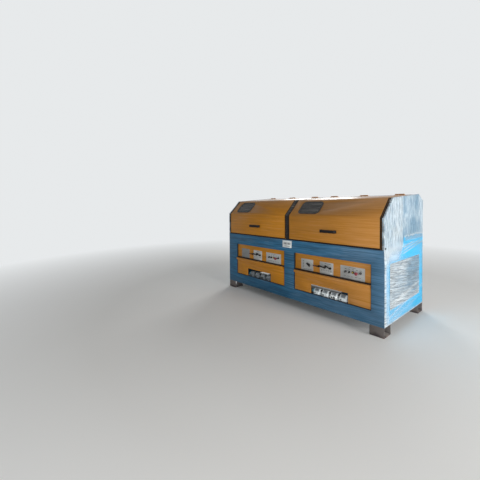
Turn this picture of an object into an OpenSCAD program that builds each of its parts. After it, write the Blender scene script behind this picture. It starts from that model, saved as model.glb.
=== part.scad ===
// Two-block cabinet of a straight-line wire drawing machine.
// +X runs along the wire line and the front faces -Y. The origin is on the floor under
// the middle of the whole outline, handles included. All sizes are in millimetres.

/* [Overall] */
// Length of the cabinet along the wire line
machine_l = 2800; // [2700:10:3200]
// Depth of the cabinet from front to back
machine_w = 1290; // [1240:10:1500]
// Height of the deck that carries the drawing blocks
deck_z = 1000; // [960:10:1100]

/* [Feet] */
// Height of the channel feet
foot_h = 120; // [80:5:160]
// Length of each foot along the cabinet
foot_l = 165; // [120:5:240]
// Depth of each foot from front to back
foot_w = 180; // [140:5:240]
// Wall of the channel that the feet are cut from
foot_wall = 10; // [6:1:14]

/* [Cabinet faces] */
// Plate of the four faces
face_t = 6; // [4:1:10]
// Blue band under the front panels
bottom_band_h = 170; // [120:5:220]
// Blue band over the front panels
top_band_h = 175; // [120:5:220]
// Blue face at the left end of the front
left_post_w = 230; // [140:5:260]
// Blue face between the two bays
mid_post_w = 200; // [160:5:260]
// Blue face at the right end of the front
right_post_w = 150; // [140:5:260]
// Blue face on either side of an end opening
end_post_w = 150; // [130:5:220]
// Depth of the folded edge round a face opening
face_return = 40; // [30:2:60]
// Width of the lip that the panels seat on
seat_lip_w = 22; // [16:1:30]

/* [Frame inside] */
// Outside size of the square post tubes
post_s = 80; // [60:5:100]
// Wall of the post tubes
post_wall = 5; // [3:1:8]
// Height of the long base channels
beam_h = 160; // [120:5:200]
// Flange width of the base channels
beam_flange = 65; // [50:5:80]
// Wall of the base channels
beam_wall = 8; // [6:1:12]
// Height of the cross channels that carry the motors
cross_h = 100; // [80:5:120]
// Flange width of the cross channels
cross_flange = 50; // [40:5:60]
// Thickness of the deck plate
deck_t = 16; // [10:1:25]
// Thickness of the bulkhead between the bays
bulkhead_t = 5; // [3:1:8]

/* [Front panels] */
// Sheet of the orange panels
sheet_t = 2.5; // [2:0.5:4]
// Height of the access cover, under the control panel
cover_h = 293; // [240:1:340]
// How far the control panel lies behind the blue face
panel_recess = 18; // [8:1:28]
// How far the access cover lies behind the blue face
cover_recess = 4; // [2:1:10]
// Gap round each panel, which shows as a dark seam
panel_gap = 3; // [1:0.5:4]
// Height of the folded lip along the top of the access cover
lip_h = 44; // [30:1:60]
// How far the lip stands out of the blue face
lip_out = 24; // [12:1:40]
// Width of the notch for the water valves
notch_w = 543; // [400:1:700]
// Height of the notch
notch_h = 128; // [80:1:150]

/* [Instruments] */
// Height of the instrument plates
plate_h = 158; // [120:1:170]
// Width of the isolator plate
isolator_plate_w = 200; // [160:1:240]
// Width of the air valve plate
air_plate_w = 202; // [160:1:240]
// Width of the switch plate
switch_plate_w = 315; // [260:1:340]
// Thickness of the instrument plates
plate_t = 3; // [2:0.5:5]
// Distance from the right edge of a panel to the switch plate
switch_plate_inset = 76; // [60:1:100]
// Gap between the switch plate and the air valve plate
switch_to_air = 100; // [60:1:110]
// Gap between the air valve plate and the isolator plate
air_to_isolator = 106; // [60:1:110]
// Distance between neighbouring switches
switch_pitch = 48; // [44:1:52]
// Radius of the ring round a switch or button
ring_r = 15; // [12:0.5:18]
// Radius of the knob inside the ring
knob_r = 10.5; // [8:0.5:11.5]
// Length of the bar handle on a selector
selector_l = 28; // [22:1:34]
// Radius of the mushroom head of the stop button
mushroom_r = 20; // [16:0.5:24]
// Side of the isolator's square base
isolator_s = 54; // [50:1:80]
// Length of the isolator's handle
isolator_l = 64; // [50:1:90]
// Distance between the hand lever valves
lever_pitch = 80; // [70:1:84]
// Length of a hand lever
lever_l = 72; // [50:1:76]
// Radius of the boss that a hand lever turns on
boss_r = 15; // [12:0.5:20]
// Width of the number tag
tag_w = 172; // [100:1:200]
// Height of the number tag
tag_h = 106; // [60:1:120]

/* [Water valves] */
// Distance between the water valves
valve_pitch = 128; // [110:1:140]
// Width of a valve body
valve_w = 98; // [70:1:104]
// Height of a valve body
valve_h = 78; // [60:1:100]
// Depth of a valve body
valve_d = 64; // [56:1:100]
// Distance from the blue face to the front of the valves
valve_set_back = 22; // [20:1:80]
// Least height of the valves' shelf over the base channels
shelf_t = 8; // [6:1:12]
// Radius of a valve's outlet elbow
spout_r = 13; // [10:1:14]
// Radius of the water main behind the valves
main_r = 24; // [16:1:30]

/* [Packing film] */
// Thickness of the layers of film stretched across the end openings
film_t = 2; // [1:0.5:4]

/* [Hood profile] */
// Height of the vertical front of the hood
hood_front_h = 370; // [300:5:420]
// Depth of the steep slope
slope_run = 240; // [180:5:300]
// Rise of the steep slope
slope_rise = 230; // [180:5:280]
// Rise of the shallow roof towards the back
roof_rise = 60; // [20:5:100]
// Depth of the chamfer at the back
chamfer_run = 170; // [120:5:220]
// Drop of the chamfer at the back
chamfer_drop = 84; // [60:2:120]
// Depth of the roof strip that stays shut, ahead of the chamfer
fixed_strip = 116; // [90:2:180]

/* [Hood parts] */
// Sheet of the hoods and the rear cowl
hood_t = 3; // [2:0.5:5]
// Depth of the folded edges of a hood
hood_return = 25; // [15:1:35]
// Gap under the front edge of a hood
hood_gap = 10; // [8:1:16]
// Clearance of a hood from the fixed strips beside it
side_clear = 5; // [5:1:8]
// Width of the rim of an end wall
wall_rim_w = 15; // [10:1:25]
// Width of the black strip beside each end wall
seal_w = 20; // [14:1:30]
// Width of the black arch between the hoods
arch_w = 56; // [40:2:80]
// How far the black strips lie under the hood surface
strip_drop = 8; // [6:1:14]
// Depth of the arch section
arch_d = 46; // [35:1:60]

/* [Windows and handles] */
// Width of a window
window_w = 330; // [240:5:400]
// Height of a window, measured on the slope
window_h = 226; // [160:2:260]
// Corner radius of a window
window_r = 52; // [30:1:70]
// Distance from the middle of a hood to its window
window_shift = 355; // [300:5:400]
// Width of the rubber round a window
gasket_w = 12; // [8:1:18]
// Thickness of the window pane
pane_t = 5; // [4:1:8]
// Length of a hood handle
handle_l = 234; // [160:2:280]
// Height of a hood handle
handle_h = 38; // [26:1:46]
// How far a handle stands out
handle_out = 46; // [40:1:60]
// Height of the handle above the deck
handle_z = 174; // [120:2:220]

/* [Hinges] */
// Radius of the hinge knuckles
knuckle_r = 9; // [8:0.5:12]
// Radius of the hinge pins
pin_r = 4.5; // [4:0.5:5]
// Running clearance of a pin, on the radius
pin_clear = 0.05; // [0.02:0.01:0.1]
// Length of each of the three knuckles of a hinge
knuckle_l = 40; // [30:1:60]
// Length of a hinge leaf across the pin
leaf_w = 50; // [36:1:60]
// Thickness of a hinge leaf
leaf_t = 4; // [3:0.5:5]
// Size of the square tube under the hinges
hinge_beam_s = 50; // [40:2:60]

/* [Wire port] */
// Width of the wire port in the end walls
port_w = 260; // [160:10:340]
// Height of the wire port
port_h = 90; // [60:5:140]
// Height of the wire above the deck
wire_h = 190; // [160:5:230]

/* [Drawing blocks] */
// Diameter of the drum at the wire
drum_d = 560; // [480:10:600]
// Height of the drum
drum_h = 268; // [220:2:300]
// How far the flange stands out of the drum
flange_out = 46; // [30:1:60]
// Gap between the drum and the deck
drum_gap = 14; // [10:1:24]
// Distance of the drum behind the middle of the cabinet
drum_back = 30; // [0:5:60]
// Distance of the drum to the right of the middle of its hood
drum_shift = 90; // [60:5:120]
// Distance of the die box to the left of the middle of its hood
die_shift = 405; // [380:5:430]
// Length of the die box
die_box_l = 300; // [240:5:340]
// Width of the die box
die_box_w = 150; // [120:5:180]
// Distance of the tension arm post to the right of the middle of its hood
arm_shift = 545; // [530:5:570]
// Diameter of the tension pulley
pulley_d = 190; // [150:5:210]

/* [Drive] */
// Side of the square gearbox
gearbox_s = 380; // [320:10:420]
// Height of the gearbox
gearbox_h = 330; // [280:10:360]
// Radius of the vertical spindle
spindle_r = 55; // [45:1:65]
// Diameter of the gearbox pulley
big_sheave_d = 310; // [260:10:320]
// Diameter of the motor pulley
small_sheave_d = 170; // [140:10:200]
// Width of the pulleys
sheave_w = 80; // [60:5:100]
// Radius of the motor body
motor_r = 132; // [110:2:150]
// Length of the motor body
motor_l = 380; // [320:10:420]
// Height of the motor shaft above its feet
motor_centre_h = 180; // [160:5:200]
// Distance of the motor behind the drum
motor_back = 250; // [220:10:290]

/* [Hidden] */
$fn = 64;
BAYS = ["left", "right"];

// Colours as they show in daylight
BLUE = [0.13, 0.36, 0.55];
ORANGE = [0.80, 0.47, 0.12];
BLACK = [0.07, 0.07, 0.08];
GREY = [0.62, 0.62, 0.60];
PRIMER = [0.27, 0.17, 0.16];
STEEL = [0.55, 0.56, 0.58];
CAST = [0.35, 0.42, 0.46];
WHITE = [0.88, 0.90, 0.90];
RED = [0.75, 0.08, 0.10];
YELLOW = [0.85, 0.70, 0.15];
GLASS = [0.20, 0.20, 0.21, 0.5];
FILM = [0.70, 0.75, 0.78, 0.6];

// Places that follow from the sizes
end_x = machine_l / 2;
front_y = handle_out - (machine_w + handle_out) / 2;
rear_y = front_y + machine_w;
mid_y = (front_y + rear_y) / 2;
open_z0 = foot_h + bottom_band_h;
open_z1 = deck_z - top_band_h;
bay_w = (machine_l - left_post_w - mid_post_w - right_post_w) / 2;
split_z = open_z0 + cover_h;
beam_top_z = foot_h + beam_h;
mid_post_x = -end_x + left_post_w + bay_w + mid_post_w / 2;
seat_y = front_y + face_return;
end_open_y0 = front_y + end_post_w;
end_open_y1 = rear_y - end_post_w;

// Middle of each bay of the base, and of each hood above it
function bay_x(bay) = bay == "left" ? -end_x + left_post_w + bay_w / 2
    : end_x - right_post_w - bay_w / 2;
hood_w = (machine_l - 2 * (wall_rim_w + seal_w + side_clear) - arch_w - 2 * side_clear) / 2;
hood_mid = arch_w / 2 + side_clear + hood_w / 2;
function hood_x(bay) = bay == "left" ? -hood_mid : hood_mid;

// Side profile of the upper housing, as points of depth and height
break_z = deck_z + hood_front_h;
slope_top = [front_y + slope_run, break_z + slope_rise];
roof_back = [rear_y - chamfer_run, slope_top[1] + roof_rise];
eave = [rear_y, roof_back[1] - chamfer_drop];
roof_run = roof_back[0] - slope_top[0];
roof_pitch = atan(roof_rise / roof_run);
slope_angle = atan(slope_rise / slope_run);
function roof_z(y) = slope_top[1] + (y - slope_top[0]) * roof_rise / roof_run;
PROFILE = [[front_y, deck_z], [front_y, break_z], slope_top, roof_back, eave,
    [rear_y, deck_z]];

// The hinge axis lies over the roof, ahead of the strip that stays shut
hinge_foot = [roof_back[0] - fixed_strip, roof_z(roof_back[0] - fixed_strip)];
up_roof = [cos(roof_pitch), sin(roof_pitch)];
out_roof = [-sin(roof_pitch), cos(roof_pitch)];
hinge_axis = hinge_foot + knuckle_r * out_roof;
function on_roof(u) = hinge_foot + u * up_roof;
beam_ahead = 3;

// Drawing blocks
function drum_x(bay) = hood_x(bay) + drum_shift;
drum_y = mid_y + drum_back;
wire_y = drum_y - drum_d / 2;
wire_z = deck_z + wire_h;
sheave_x = -gearbox_s / 2 - sheave_w / 2 - 20;
gearbox_axis_z = deck_z - deck_t - gearbox_h / 2;
motor_y = drum_y + motor_back;
motor_z = beam_top_z + motor_centre_h;
foot_reach = motor_r + 20;
motor_gap = 40;
motor_shift = sheave_x + sheave_w / 2 + motor_gap + motor_l / 2;
motor_foot_x = motor_l * 0.3;

// Mitred offset of an open line of points, to its right by d
function unit(v) = v / norm(v);
function side(a, b) = let (d = unit(b - a)) [d[1], -d[0]];
function shifted(p, i, d) =
    i == 0 ? p[0] + d * side(p[0], p[1])
    : i == len(p) - 1 ? p[i] + d * side(p[i - 1], p[i])
    : let (m = side(p[i - 1], p[i]), n = side(p[i], p[i + 1])) p[i] + d * (m + n) / (1 + m * n);
function inset(p, d) = [for (i = [0:len(p) - 1]) shifted(p, i, d)];
function reversed(p) = [for (i = [len(p) - 1:-1:0]) p[i]];
function band(p, near, far) = concat(inset(p, near), reversed(inset(p, far)));

// What stands at the front, turned over to stand at the back
module at_back() {
    translate([0, 2 * mid_y, 0]) mirror([0, 1, 0]) children();
}

// A side profile drawn in depth and height, run along X from x0 for a length
module along_x(x0, length) {
    translate([x0, 0, 0]) rotate([90, 0, 90]) linear_extrude(length) children();
}

// A box between two corners
module between(a, b) {
    translate(a) cube(b - a);
}

// A rectangle with round corners, about its middle
module rounded(w, h, r) {
    square([w - 2 * r, h], center = true);
    square([w, h - 2 * r], center = true);
    for (x = [-1, 1], y = [-1, 1]) {
        translate([x * (w / 2 - r), y * (h / 2 - r)]) circle(r);
    }
}

// Drawing on the front of a panel, with its depth running inwards from y
module on_front(x, y, z) {
    translate([x, y, z]) rotate([-90, 0, 0]) children();
}

module skid_foot() {
    difference() {
        cube([foot_l, foot_w, foot_h]);
        translate([-1, foot_wall, foot_wall]) cube([foot_l + 2, foot_w - 2 * foot_wall, foot_h]);
    }
}

module skid_feet() {
    color(PRIMER) for (x = [-end_x, end_x - foot_l], y = [front_y, rear_y - foot_w]) {
        translate([x, y, 0]) skid_foot();
    }
}

// One long face of the cabinet with its two openings, seen from the front
module long_face(notched) {
    difference() {
        between([-end_x, front_y, foot_h], [end_x, front_y + face_t, deck_z]);
        for (bay = BAYS) {
            bay_hole(bay, 0);
        }
    }
    for (bay = BAYS) {
        difference() {
            bay_block(bay, face_t);
            bay_hole(bay, 0);
        }
        seat_lip(bay, notched);
    }
}

module bay_hole(bay, grow) {
    x = bay_x(bay);
    between([x - bay_w / 2 - grow, front_y - 1, open_z0 - grow],
        [x + bay_w / 2 + grow, seat_y + face_t + 1, open_z1 + grow]);
}

module bay_block(bay, grow) {
    x = bay_x(bay);
    between([x - bay_w / 2 - grow, front_y + face_t / 2, open_z0 - grow],
        [x + bay_w / 2 + grow, seat_y + face_t, open_z1 + grow]);
}

// The lip behind the panels, with a bar between the two panels of a bay. A face with valve
// notches has no lip along the foot of its openings
module seat_lip(bay, notched) {
    x = bay_x(bay);
    foot_lip = notched ? 0 : seat_lip_w;
    difference() {
        between([x - bay_w / 2 - face_t / 2, seat_y, open_z0 - face_t / 2],
            [x + bay_w / 2 + face_t / 2, seat_y + face_t, open_z1 + face_t / 2]);
        between([x - bay_w / 2 + seat_lip_w, seat_y - 1, open_z0 + foot_lip],
            [x + bay_w / 2 - seat_lip_w, seat_y + face_t + 1, open_z1 - seat_lip_w]);
    }
    between([x - bay_w / 2 + seat_lip_w / 2, seat_y, split_z - seat_lip_w],
        [x + bay_w / 2 - seat_lip_w / 2, seat_y + face_t, split_z + seat_lip_w]);
}

module front_face_plate() {
    color(BLUE) long_face(true);
}

module rear_face_plate() {
    color(BLUE) at_back() long_face(false);
}

// The right end face, from the inside of the front plate to that of the rear plate
module end_face() {
    difference() {
        union() {
            between([end_x - face_t, front_y + face_t, foot_h], [end_x, rear_y - face_t, deck_z]);
            between([end_x - face_return, end_open_y0 - face_t, open_z0 - face_t],
                [end_x - face_t / 2, end_open_y1 + face_t, open_z1 + face_t]);
        }
        between([end_x - face_return - 1, end_open_y0, open_z0], [end_x + 1, end_open_y1, open_z1]);
    }
}

module end_face_plates() {
    color(BLUE) for (turn = [0, 1]) {
        mirror([turn, 0, 0]) end_face();
    }
}

// Packing film pulled tight across the opening of each end
module end_films() {
    color(FILM) for (turn = [0, 1]) {
        mirror([turn, 0, 0]) {
            between([end_x - film_t, end_open_y0, open_z0], [end_x, end_open_y1, open_z1]);
        }
    }
}

// Square tube standing on the base channels
module post_tube(x, y) {
    translate([x, y, beam_top_z]) difference() {
        cube([post_s, post_s, deck_z - deck_t - beam_top_z]);
        translate([post_wall, post_wall, -1]) {
            cube([post_s - 2 * post_wall, post_s - 2 * post_wall, deck_z]);
        }
    }
}

// Middle tubes stand clear behind the folded edges of the openings beside them
module frame_posts() {
    x_end = end_x - face_t - post_s;
    color(BLUE) for (x = [-x_end - post_s, mid_post_x - post_s / 2, x_end]) {
        post_tube(x, front_y + face_t);
        post_tube(x, rear_y - face_t - post_s);
    }
}

module channel(height, flange, wall) {
    polygon([[0, 0], [flange, 0], [flange, wall], [wall, wall], [wall, height - wall],
        [flange, height - wall], [flange, height], [0, height]]);
}

module base_beam() {
    length = machine_l - 2 * face_t;
    along_x(-length / 2, length) translate([front_y + face_t, foot_h]) {
        channel(beam_h, beam_flange, beam_wall);
    }
}

module base_beams() {
    color(BLUE) {
        base_beam();
        at_back() base_beam();
    }
}

// Two channels under each motor, let into the ends between the base channels
module cross_beams() {
    reach = face_t + beam_flange;
    color(BLUE) for (bay = BAYS, s = [-1, 1]) {
        x = drum_x(bay) + motor_shift + s * motor_foot_x - cross_flange / 2;
        translate([x, rear_y - reach, beam_top_z - cross_h]) rotate([90, 0, 0]) {
            linear_extrude(machine_w - 2 * reach) channel(cross_h, cross_flange, beam_wall);
        }
    }
}

module deck_plate() {
    color(STEEL) difference() {
        between([-end_x + face_t, front_y + face_t, deck_z - deck_t],
            [end_x - face_t, rear_y - face_t, deck_z]);
        for (bay = BAYS) {
            translate([drum_x(bay), drum_y, deck_z - deck_t - 1]) {
                cylinder(h = deck_t + 2, r = spindle_r + 10);
            }
        }
    }
}

module mid_bulkhead() {
    reach = face_t + post_s;
    color(BLUE) between([mid_post_x - bulkhead_t / 2, front_y + reach, beam_top_z],
        [mid_post_x + bulkhead_t / 2, rear_y - reach, deck_z - deck_t]);
}

// Folded sheet that fills part of a bay, its rim seated on the lip behind it
module tray(bay, z0, z1, recess) {
    x = bay_x(bay);
    w = bay_w / 2 - panel_gap;
    difference() {
        between([x - w, front_y + recess, z0], [x + w, seat_y, z1]);
        between([x - w + sheet_t, front_y + recess + sheet_t, z0 + sheet_t],
            [x + w - sheet_t, seat_y + 1, z1 - sheet_t]);
    }
}

// Right edge of each instrument plate, measured from the right edge of the bay
switch_plate_x = bay_w / 2 - switch_plate_inset - switch_plate_w / 2;
air_plate_x = switch_plate_x - switch_plate_w / 2 - switch_to_air - air_plate_w / 2;
isolator_plate_x = air_plate_x - air_plate_w / 2 - air_to_isolator - isolator_plate_w / 2;
panel_mid_z = (split_z + open_z1) / 2 - 26;
panel_y = front_y + panel_recess;

module control_panel(bay) {
    color(ORANGE) tray(bay, split_z + panel_gap, open_z1 - panel_gap, panel_recess);
}

// Side profile of the cover's folded lip, a hollow fold that stands out of the face
module lip_profile() {
    y = front_y + cover_recess;
    top = split_z - panel_gap;
    polygon([[y + sheet_t, top], [front_y - lip_out + 6, top], [front_y - lip_out, top - 6],
        [front_y - lip_out, top - lip_h + 12], [y, top - lip_h], [y, top - lip_h + sheet_t * 1.5],
        [front_y - lip_out + sheet_t, top - lip_h + 14], [front_y - lip_out + sheet_t, top - 7],
        [front_y - lip_out + 7, top - sheet_t], [y + sheet_t, top - sheet_t]]);
}

module access_cover(bay) {
    x = bay_x(bay);
    w = bay_w - 2 * panel_gap;
    color(ORANGE) {
        difference() {
            tray(bay, open_z0 + panel_gap, split_z - panel_gap, cover_recess);
            between([x - notch_w / 2, front_y - 1, open_z0],
                [x + notch_w / 2, seat_y + 1, open_z0 + notch_h]);
        }
        along_x(x - w / 2, w) lip_profile();
    }
}

// Plain lift-off panels close the back of each bay, split at the same height
module rear_panels() {
    color(ORANGE) at_back() for (bay = BAYS) {
        tray(bay, open_z0 + panel_gap, split_z - panel_gap, cover_recess);
        tray(bay, split_z + panel_gap, open_z1 - panel_gap, cover_recess);
    }
}

// The isolator, air valve and switch plates stand on each control panel
PLATES = [[isolator_plate_x, isolator_plate_w], [air_plate_x, air_plate_w],
    [switch_plate_x, switch_plate_w]];
plate_y = panel_y - plate_t;

module instrument_plates() {
    color(GREY) for (bay = BAYS, plate = PLATES) {
        on_front(bay_x(bay) + plate[0], plate_y, panel_mid_z) {
            linear_extrude(plate_t) rounded(plate[1], plate_h, 6);
        }
    }
}

switch_z = panel_mid_z + 10;
function switch_x(bay, i) = bay_x(bay) + switch_plate_x + (i - 1.8) * switch_pitch;

// Black selector: a stepped ring with a bar handle across it
module selector(x, z, turn) {
    ring_h = 6;
    knob_h = 18;
    grip_w = 8;
    on_front(x, plate_y, z) mirror([0, 0, 1]) {
        cylinder(h = ring_h, r = ring_r);
        cylinder(h = knob_h, r = knob_r);
        rotate([0, 0, turn]) translate([-grip_w / 2, -selector_l / 2, ring_h]) {
            cube([grip_w, selector_l, knob_h + 4]);
        }
    }
}

// Isolator: a square base with a wide pistol handle
module isolator(x) {
    base_h = 12;
    hub_h = 26;
    grip_w = 18;
    turn = 35;
    on_front(x, plate_y, panel_mid_z + 10) mirror([0, 0, 1]) {
        linear_extrude(base_h) rounded(isolator_s, isolator_s, 8);
        cylinder(h = hub_h, r = isolator_s * 0.32);
        rotate([0, 0, turn]) translate([-isolator_l / 2, -grip_w / 2, hub_h - 6]) {
            cube([isolator_l, grip_w, 20]);
        }
    }
}

module control_switches() {
    color(BLACK) for (bay = BAYS) {
        selector(switch_x(bay, 0), switch_z, 25);
        selector(switch_x(bay, 1), switch_z, -20);
        selector(switch_x(bay, 4), switch_z + 6, 60);
        if (bay == "right") {
            isolator(bay_x(bay) + isolator_plate_x + isolator_plate_w * 0.2);
        }
    }
}

// Push button: a flat cap in a ring
module start_buttons() {
    color(YELLOW) for (bay = BAYS) {
        on_front(switch_x(bay, 2), plate_y, switch_z) mirror([0, 0, 1]) {
            cylinder(h = 7, r = ring_r);
            cylinder(h = 14, r = knob_r);
        }
    }
}

// Emergency stop with a mushroom head
module stop_buttons() {
    r = mushroom_r;
    color(RED) for (bay = BAYS) {
        on_front(switch_x(bay, 3), plate_y, switch_z - 6) mirror([0, 0, 1]) {
            rotate_extrude() polygon([[0, 0], [ring_r, 0], [ring_r, 6], [knob_r, 8], [knob_r, 18],
                [r, 21], [r, 27], [r - 4, 31], [0, 33]]);
        }
    }
}

// Hand lever on a stepped boss: a flat arm with a round grip at its end
module hand_valve(x, y, turn) {
    arm_w = 12;
    arm_t = 8;
    arm_z = 20;
    grip_l = lever_l * 0.55;
    on_front(x, y, panel_mid_z + 8) mirror([0, 0, 1]) {
        cylinder(h = 10, r = boss_r);
        cylinder(h = arm_z + 6, r = boss_r * 0.6);
        rotate([0, 0, turn]) translate([0, 0, arm_z]) {
            translate([0, -arm_w / 2, 0]) cube([lever_l - arm_w, arm_w, arm_t]);
            cylinder(h = arm_t, r = arm_w * 0.8);
            translate([lever_l - grip_l, 0, arm_t / 2]) rotate([0, 90, 0]) {
                cylinder(h = grip_l, r = arm_w * 0.62);
            }
        }
    }
}

// Three levers in a row, the first one beside the plate
module air_valves() {
    color(BLACK) for (bay = BAYS) {
        x = bay_x(bay) + air_plate_x;
        hand_valve(x - air_plate_w / 2 - boss_r - 2, panel_y, 182);
        hand_valve(x - air_plate_w / 2 + lever_pitch, plate_y, 190);
        hand_valve(x - air_plate_w / 2 + 2 * lever_pitch, plate_y, 205);
    }
}

// Square valve body with a sloping cap, a round port and an outlet elbow in front
cap_foot_z = valve_h * 0.52;
cap_top_y = valve_d * 0.45;
cap_angle = atan((valve_h - cap_foot_z) / cap_top_y);

module water_valve() {
    port_r = valve_h * 0.17;
    port_out = 8;
    cap_rise = 4;
    along_x(-valve_w / 2, valve_w) polygon([[0, 0], [valve_d, 0], [valve_d, valve_h],
        [cap_top_y, valve_h], [0, cap_foot_z]]);
    translate([-valve_w * 0.22, 1, valve_h * 0.24]) rotate([90, 0, 0]) {
        cylinder(h = port_out + 1, r = port_r);
    }
    translate([0, cap_top_y / 2, (cap_foot_z + valve_h) / 2]) rotate([cap_angle, 0, 0]) {
        translate([0, 0, -cap_rise]) linear_extrude(2 * cap_rise) {
            rounded(valve_w * 0.8, norm([cap_top_y, valve_h - cap_foot_z]) - 8, 8);
        }
    }
    outlet_elbow();
}

// Elbow that leaves the front of a valve and turns down to a hose tail
module outlet_elbow() {
    out = 2;
    translate([valve_w * 0.3, 0, valve_h * 0.4]) {
        translate([0, 1, 0]) rotate([90, 0, 0]) cylinder(h = out + 1, r = spout_r);
        translate([0, -out, 0]) sphere(r = spout_r);
        translate([0, -out, -valve_h * 0.34]) cylinder(h = valve_h * 0.34, r = spout_r * 0.72);
        translate([0, -out, -valve_h * 0.22]) cylinder(h = 6, r = spout_r);
    }
}

valve_seat_z = max(beam_top_z + shelf_t, open_z0);

// Four valves on a shelf over the base channel, joined by the water main behind them
module water_valves() {
    main_l = 3 * valve_pitch + valve_w;
    shelf_l = main_l + 20;
    y0 = front_y + valve_set_back;
    color(WHITE) for (bay = BAYS) {
        x = bay_x(bay);
        for (i = [0:3]) {
            translate([x + (i - 1.5) * valve_pitch, y0, valve_seat_z]) water_valve();
        }
        translate([x - main_l / 2, y0 + valve_d + main_r - 4, valve_seat_z + main_r]) {
            rotate([0, 90, 0]) cylinder(h = main_l, r = main_r);
        }
        between([x - shelf_l / 2, seat_y + face_t + 1, beam_top_z],
            [x + shelf_l / 2, y0 + valve_d + 2 * main_r, valve_seat_z]);
    }
}

module number_tag() {
    color(WHITE) between([-tag_w / 2, front_y - 2, deck_z - 10 - tag_h],
        [tag_w / 2, front_y, deck_z - 10]);
}

// Housing end: a plate of the side profile with a folded rim and the wire port
module end_wall(bay) {
    color(BLUE) mirror([bay == "left" ? 1 : 0, 0, 0]) {
        difference() {
            along_x(end_x - face_t, face_t) polygon(PROFILE);
            translate([end_x - face_t - 1, wire_y, wire_z]) rotate([90, 0, 90]) {
                linear_extrude(face_t + 2) rounded(port_w, port_h, 20);
            }
        }
        along_x(end_x - wall_rim_w, wall_rim_w - face_t / 2) polygon(band(PROFILE, 0, hood_return));
    }
}

// Line of the strips under the hoods, from the deck to the hinge beam
STRIP_LINE = [[front_y, deck_z], [front_y, break_z], slope_top, on_roof(beam_ahead)];

module middle_arch() {
    color(BLACK) along_x(-arch_w / 2, arch_w) {
        polygon(band(STRIP_LINE, strip_drop, strip_drop + arch_d));
    }
}

// Black strips beside the end walls, and one under the front edge of each hood
module hood_seals() {
    seal_x = end_x - wall_rim_w - seal_w;
    color(BLACK) {
        for (x = [-seal_x - seal_w, seal_x]) {
            along_x(x, seal_w) polygon(band(STRIP_LINE, strip_drop, hood_return));
        }
        for (s = [-1, 1]) {
            between([s * hood_mid - hood_w / 2, front_y + 2, deck_z],
                [s * hood_mid + hood_w / 2, front_y + 26, deck_z + hood_gap - 5]);
        }
    }
}

// Frame of the hinges: across the roof to the back, and square to it
module on_hinge() {
    translate([0, hinge_axis[0], hinge_axis[1]]) rotate([roof_pitch, 0, 0]) children();
}

module hinge_beam() {
    l = end_x - wall_rim_w;
    s = hinge_beam_s;
    wall = 4;
    color(BLUE) on_hinge() translate([-l, beam_ahead, -knuckle_r - hood_t - s]) difference() {
        cube([2 * l, s, s]);
        translate([-1, wall, wall]) cube([2 * l + 2, s - 2 * wall, s - 2 * wall]);
    }
}

// Back wall, chamfer and the strip of roof behind the hinges, one folded sheet
module rear_cowl() {
    l = end_x - wall_rim_w;
    color(BLUE) along_x(-l, 2 * l) {
        polygon(band([on_roof(side_clear), roof_back, eave, [rear_y, deck_z]], 0, hood_t));
    }
}

// Places of the hinges along a hood, as shares of its width
HINGE_PLACES = [-0.38, 0, 0.38];
knuckle_side = 2;

// The leaf and two outer knuckles that stay on the cowl, with the pin between them
module hinge_block(x) {
    root = knuckle_r + knuckle_side;
    on_hinge() translate([x, 0, 0]) {
        translate([-1.5 * knuckle_l, root, -knuckle_r]) {
            cube([3 * knuckle_l, leaf_w - root, leaf_t]);
        }
        for (s = [-1, 1]) {
            translate([s * knuckle_l - (knuckle_l - 1) / 2, 0, 0]) {
                rotate([0, 90, 0]) cylinder(h = knuckle_l - 1, r = knuckle_r);
            }
            translate([s * knuckle_l - (knuckle_l - 1) / 2, 0, -knuckle_r]) {
                cube([knuckle_l - 1, root + 1, leaf_t]);
            }
        }
        translate([-1.5 * knuckle_l, 0, 0]) rotate([0, 90, 0]) cylinder(h = 3 * knuckle_l, r = pin_r);
    }
}

module hinge_blocks() {
    color(STEEL) for (bay = BAYS, p = HINGE_PLACES) {
        hinge_block(hood_x(bay) + p * hood_w);
    }
}

// The leaf and middle knuckle that ride on a hood
module hood_hinge(x) {
    on_hinge() translate([x, 0, 0]) difference() {
        union() {
            translate([-1.5 * knuckle_l, -leaf_w, -knuckle_r]) {
                cube([3 * knuckle_l, leaf_w - knuckle_r - knuckle_side, leaf_t]);
            }
            translate([-knuckle_l / 2 + 1, -leaf_w / 2, -knuckle_r]) {
                cube([knuckle_l - 2, leaf_w / 2, leaf_t]);
            }
            translate([-knuckle_l / 2 + 1, 0, 0]) rotate([0, 90, 0]) {
                cylinder(h = knuckle_l - 2, r = knuckle_r);
            }
        }
        translate([-knuckle_l, 0, 0]) rotate([0, 90, 0]) {
            cylinder(h = 2 * knuckle_l, r = pin_r + pin_clear);
        }
    }
}

module hood_hinges(bay) {
    color(STEEL) for (p = HINGE_PLACES) {
        hood_hinge(hood_x(bay) + p * hood_w);
    }
}

// Frame of a window: its middle on the slope, with height running out of the slope
module on_slope(bay) {
    mid = (([front_y, break_z] + slope_top) / 2);
    translate([hood_x(bay) - window_shift, mid[0], mid[1]]) rotate([slope_angle, 0, 0]) children();
}

HOOD_LINE = [[front_y, deck_z + hood_gap], [front_y, break_z], slope_top, on_roof(-side_clear)];

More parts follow.
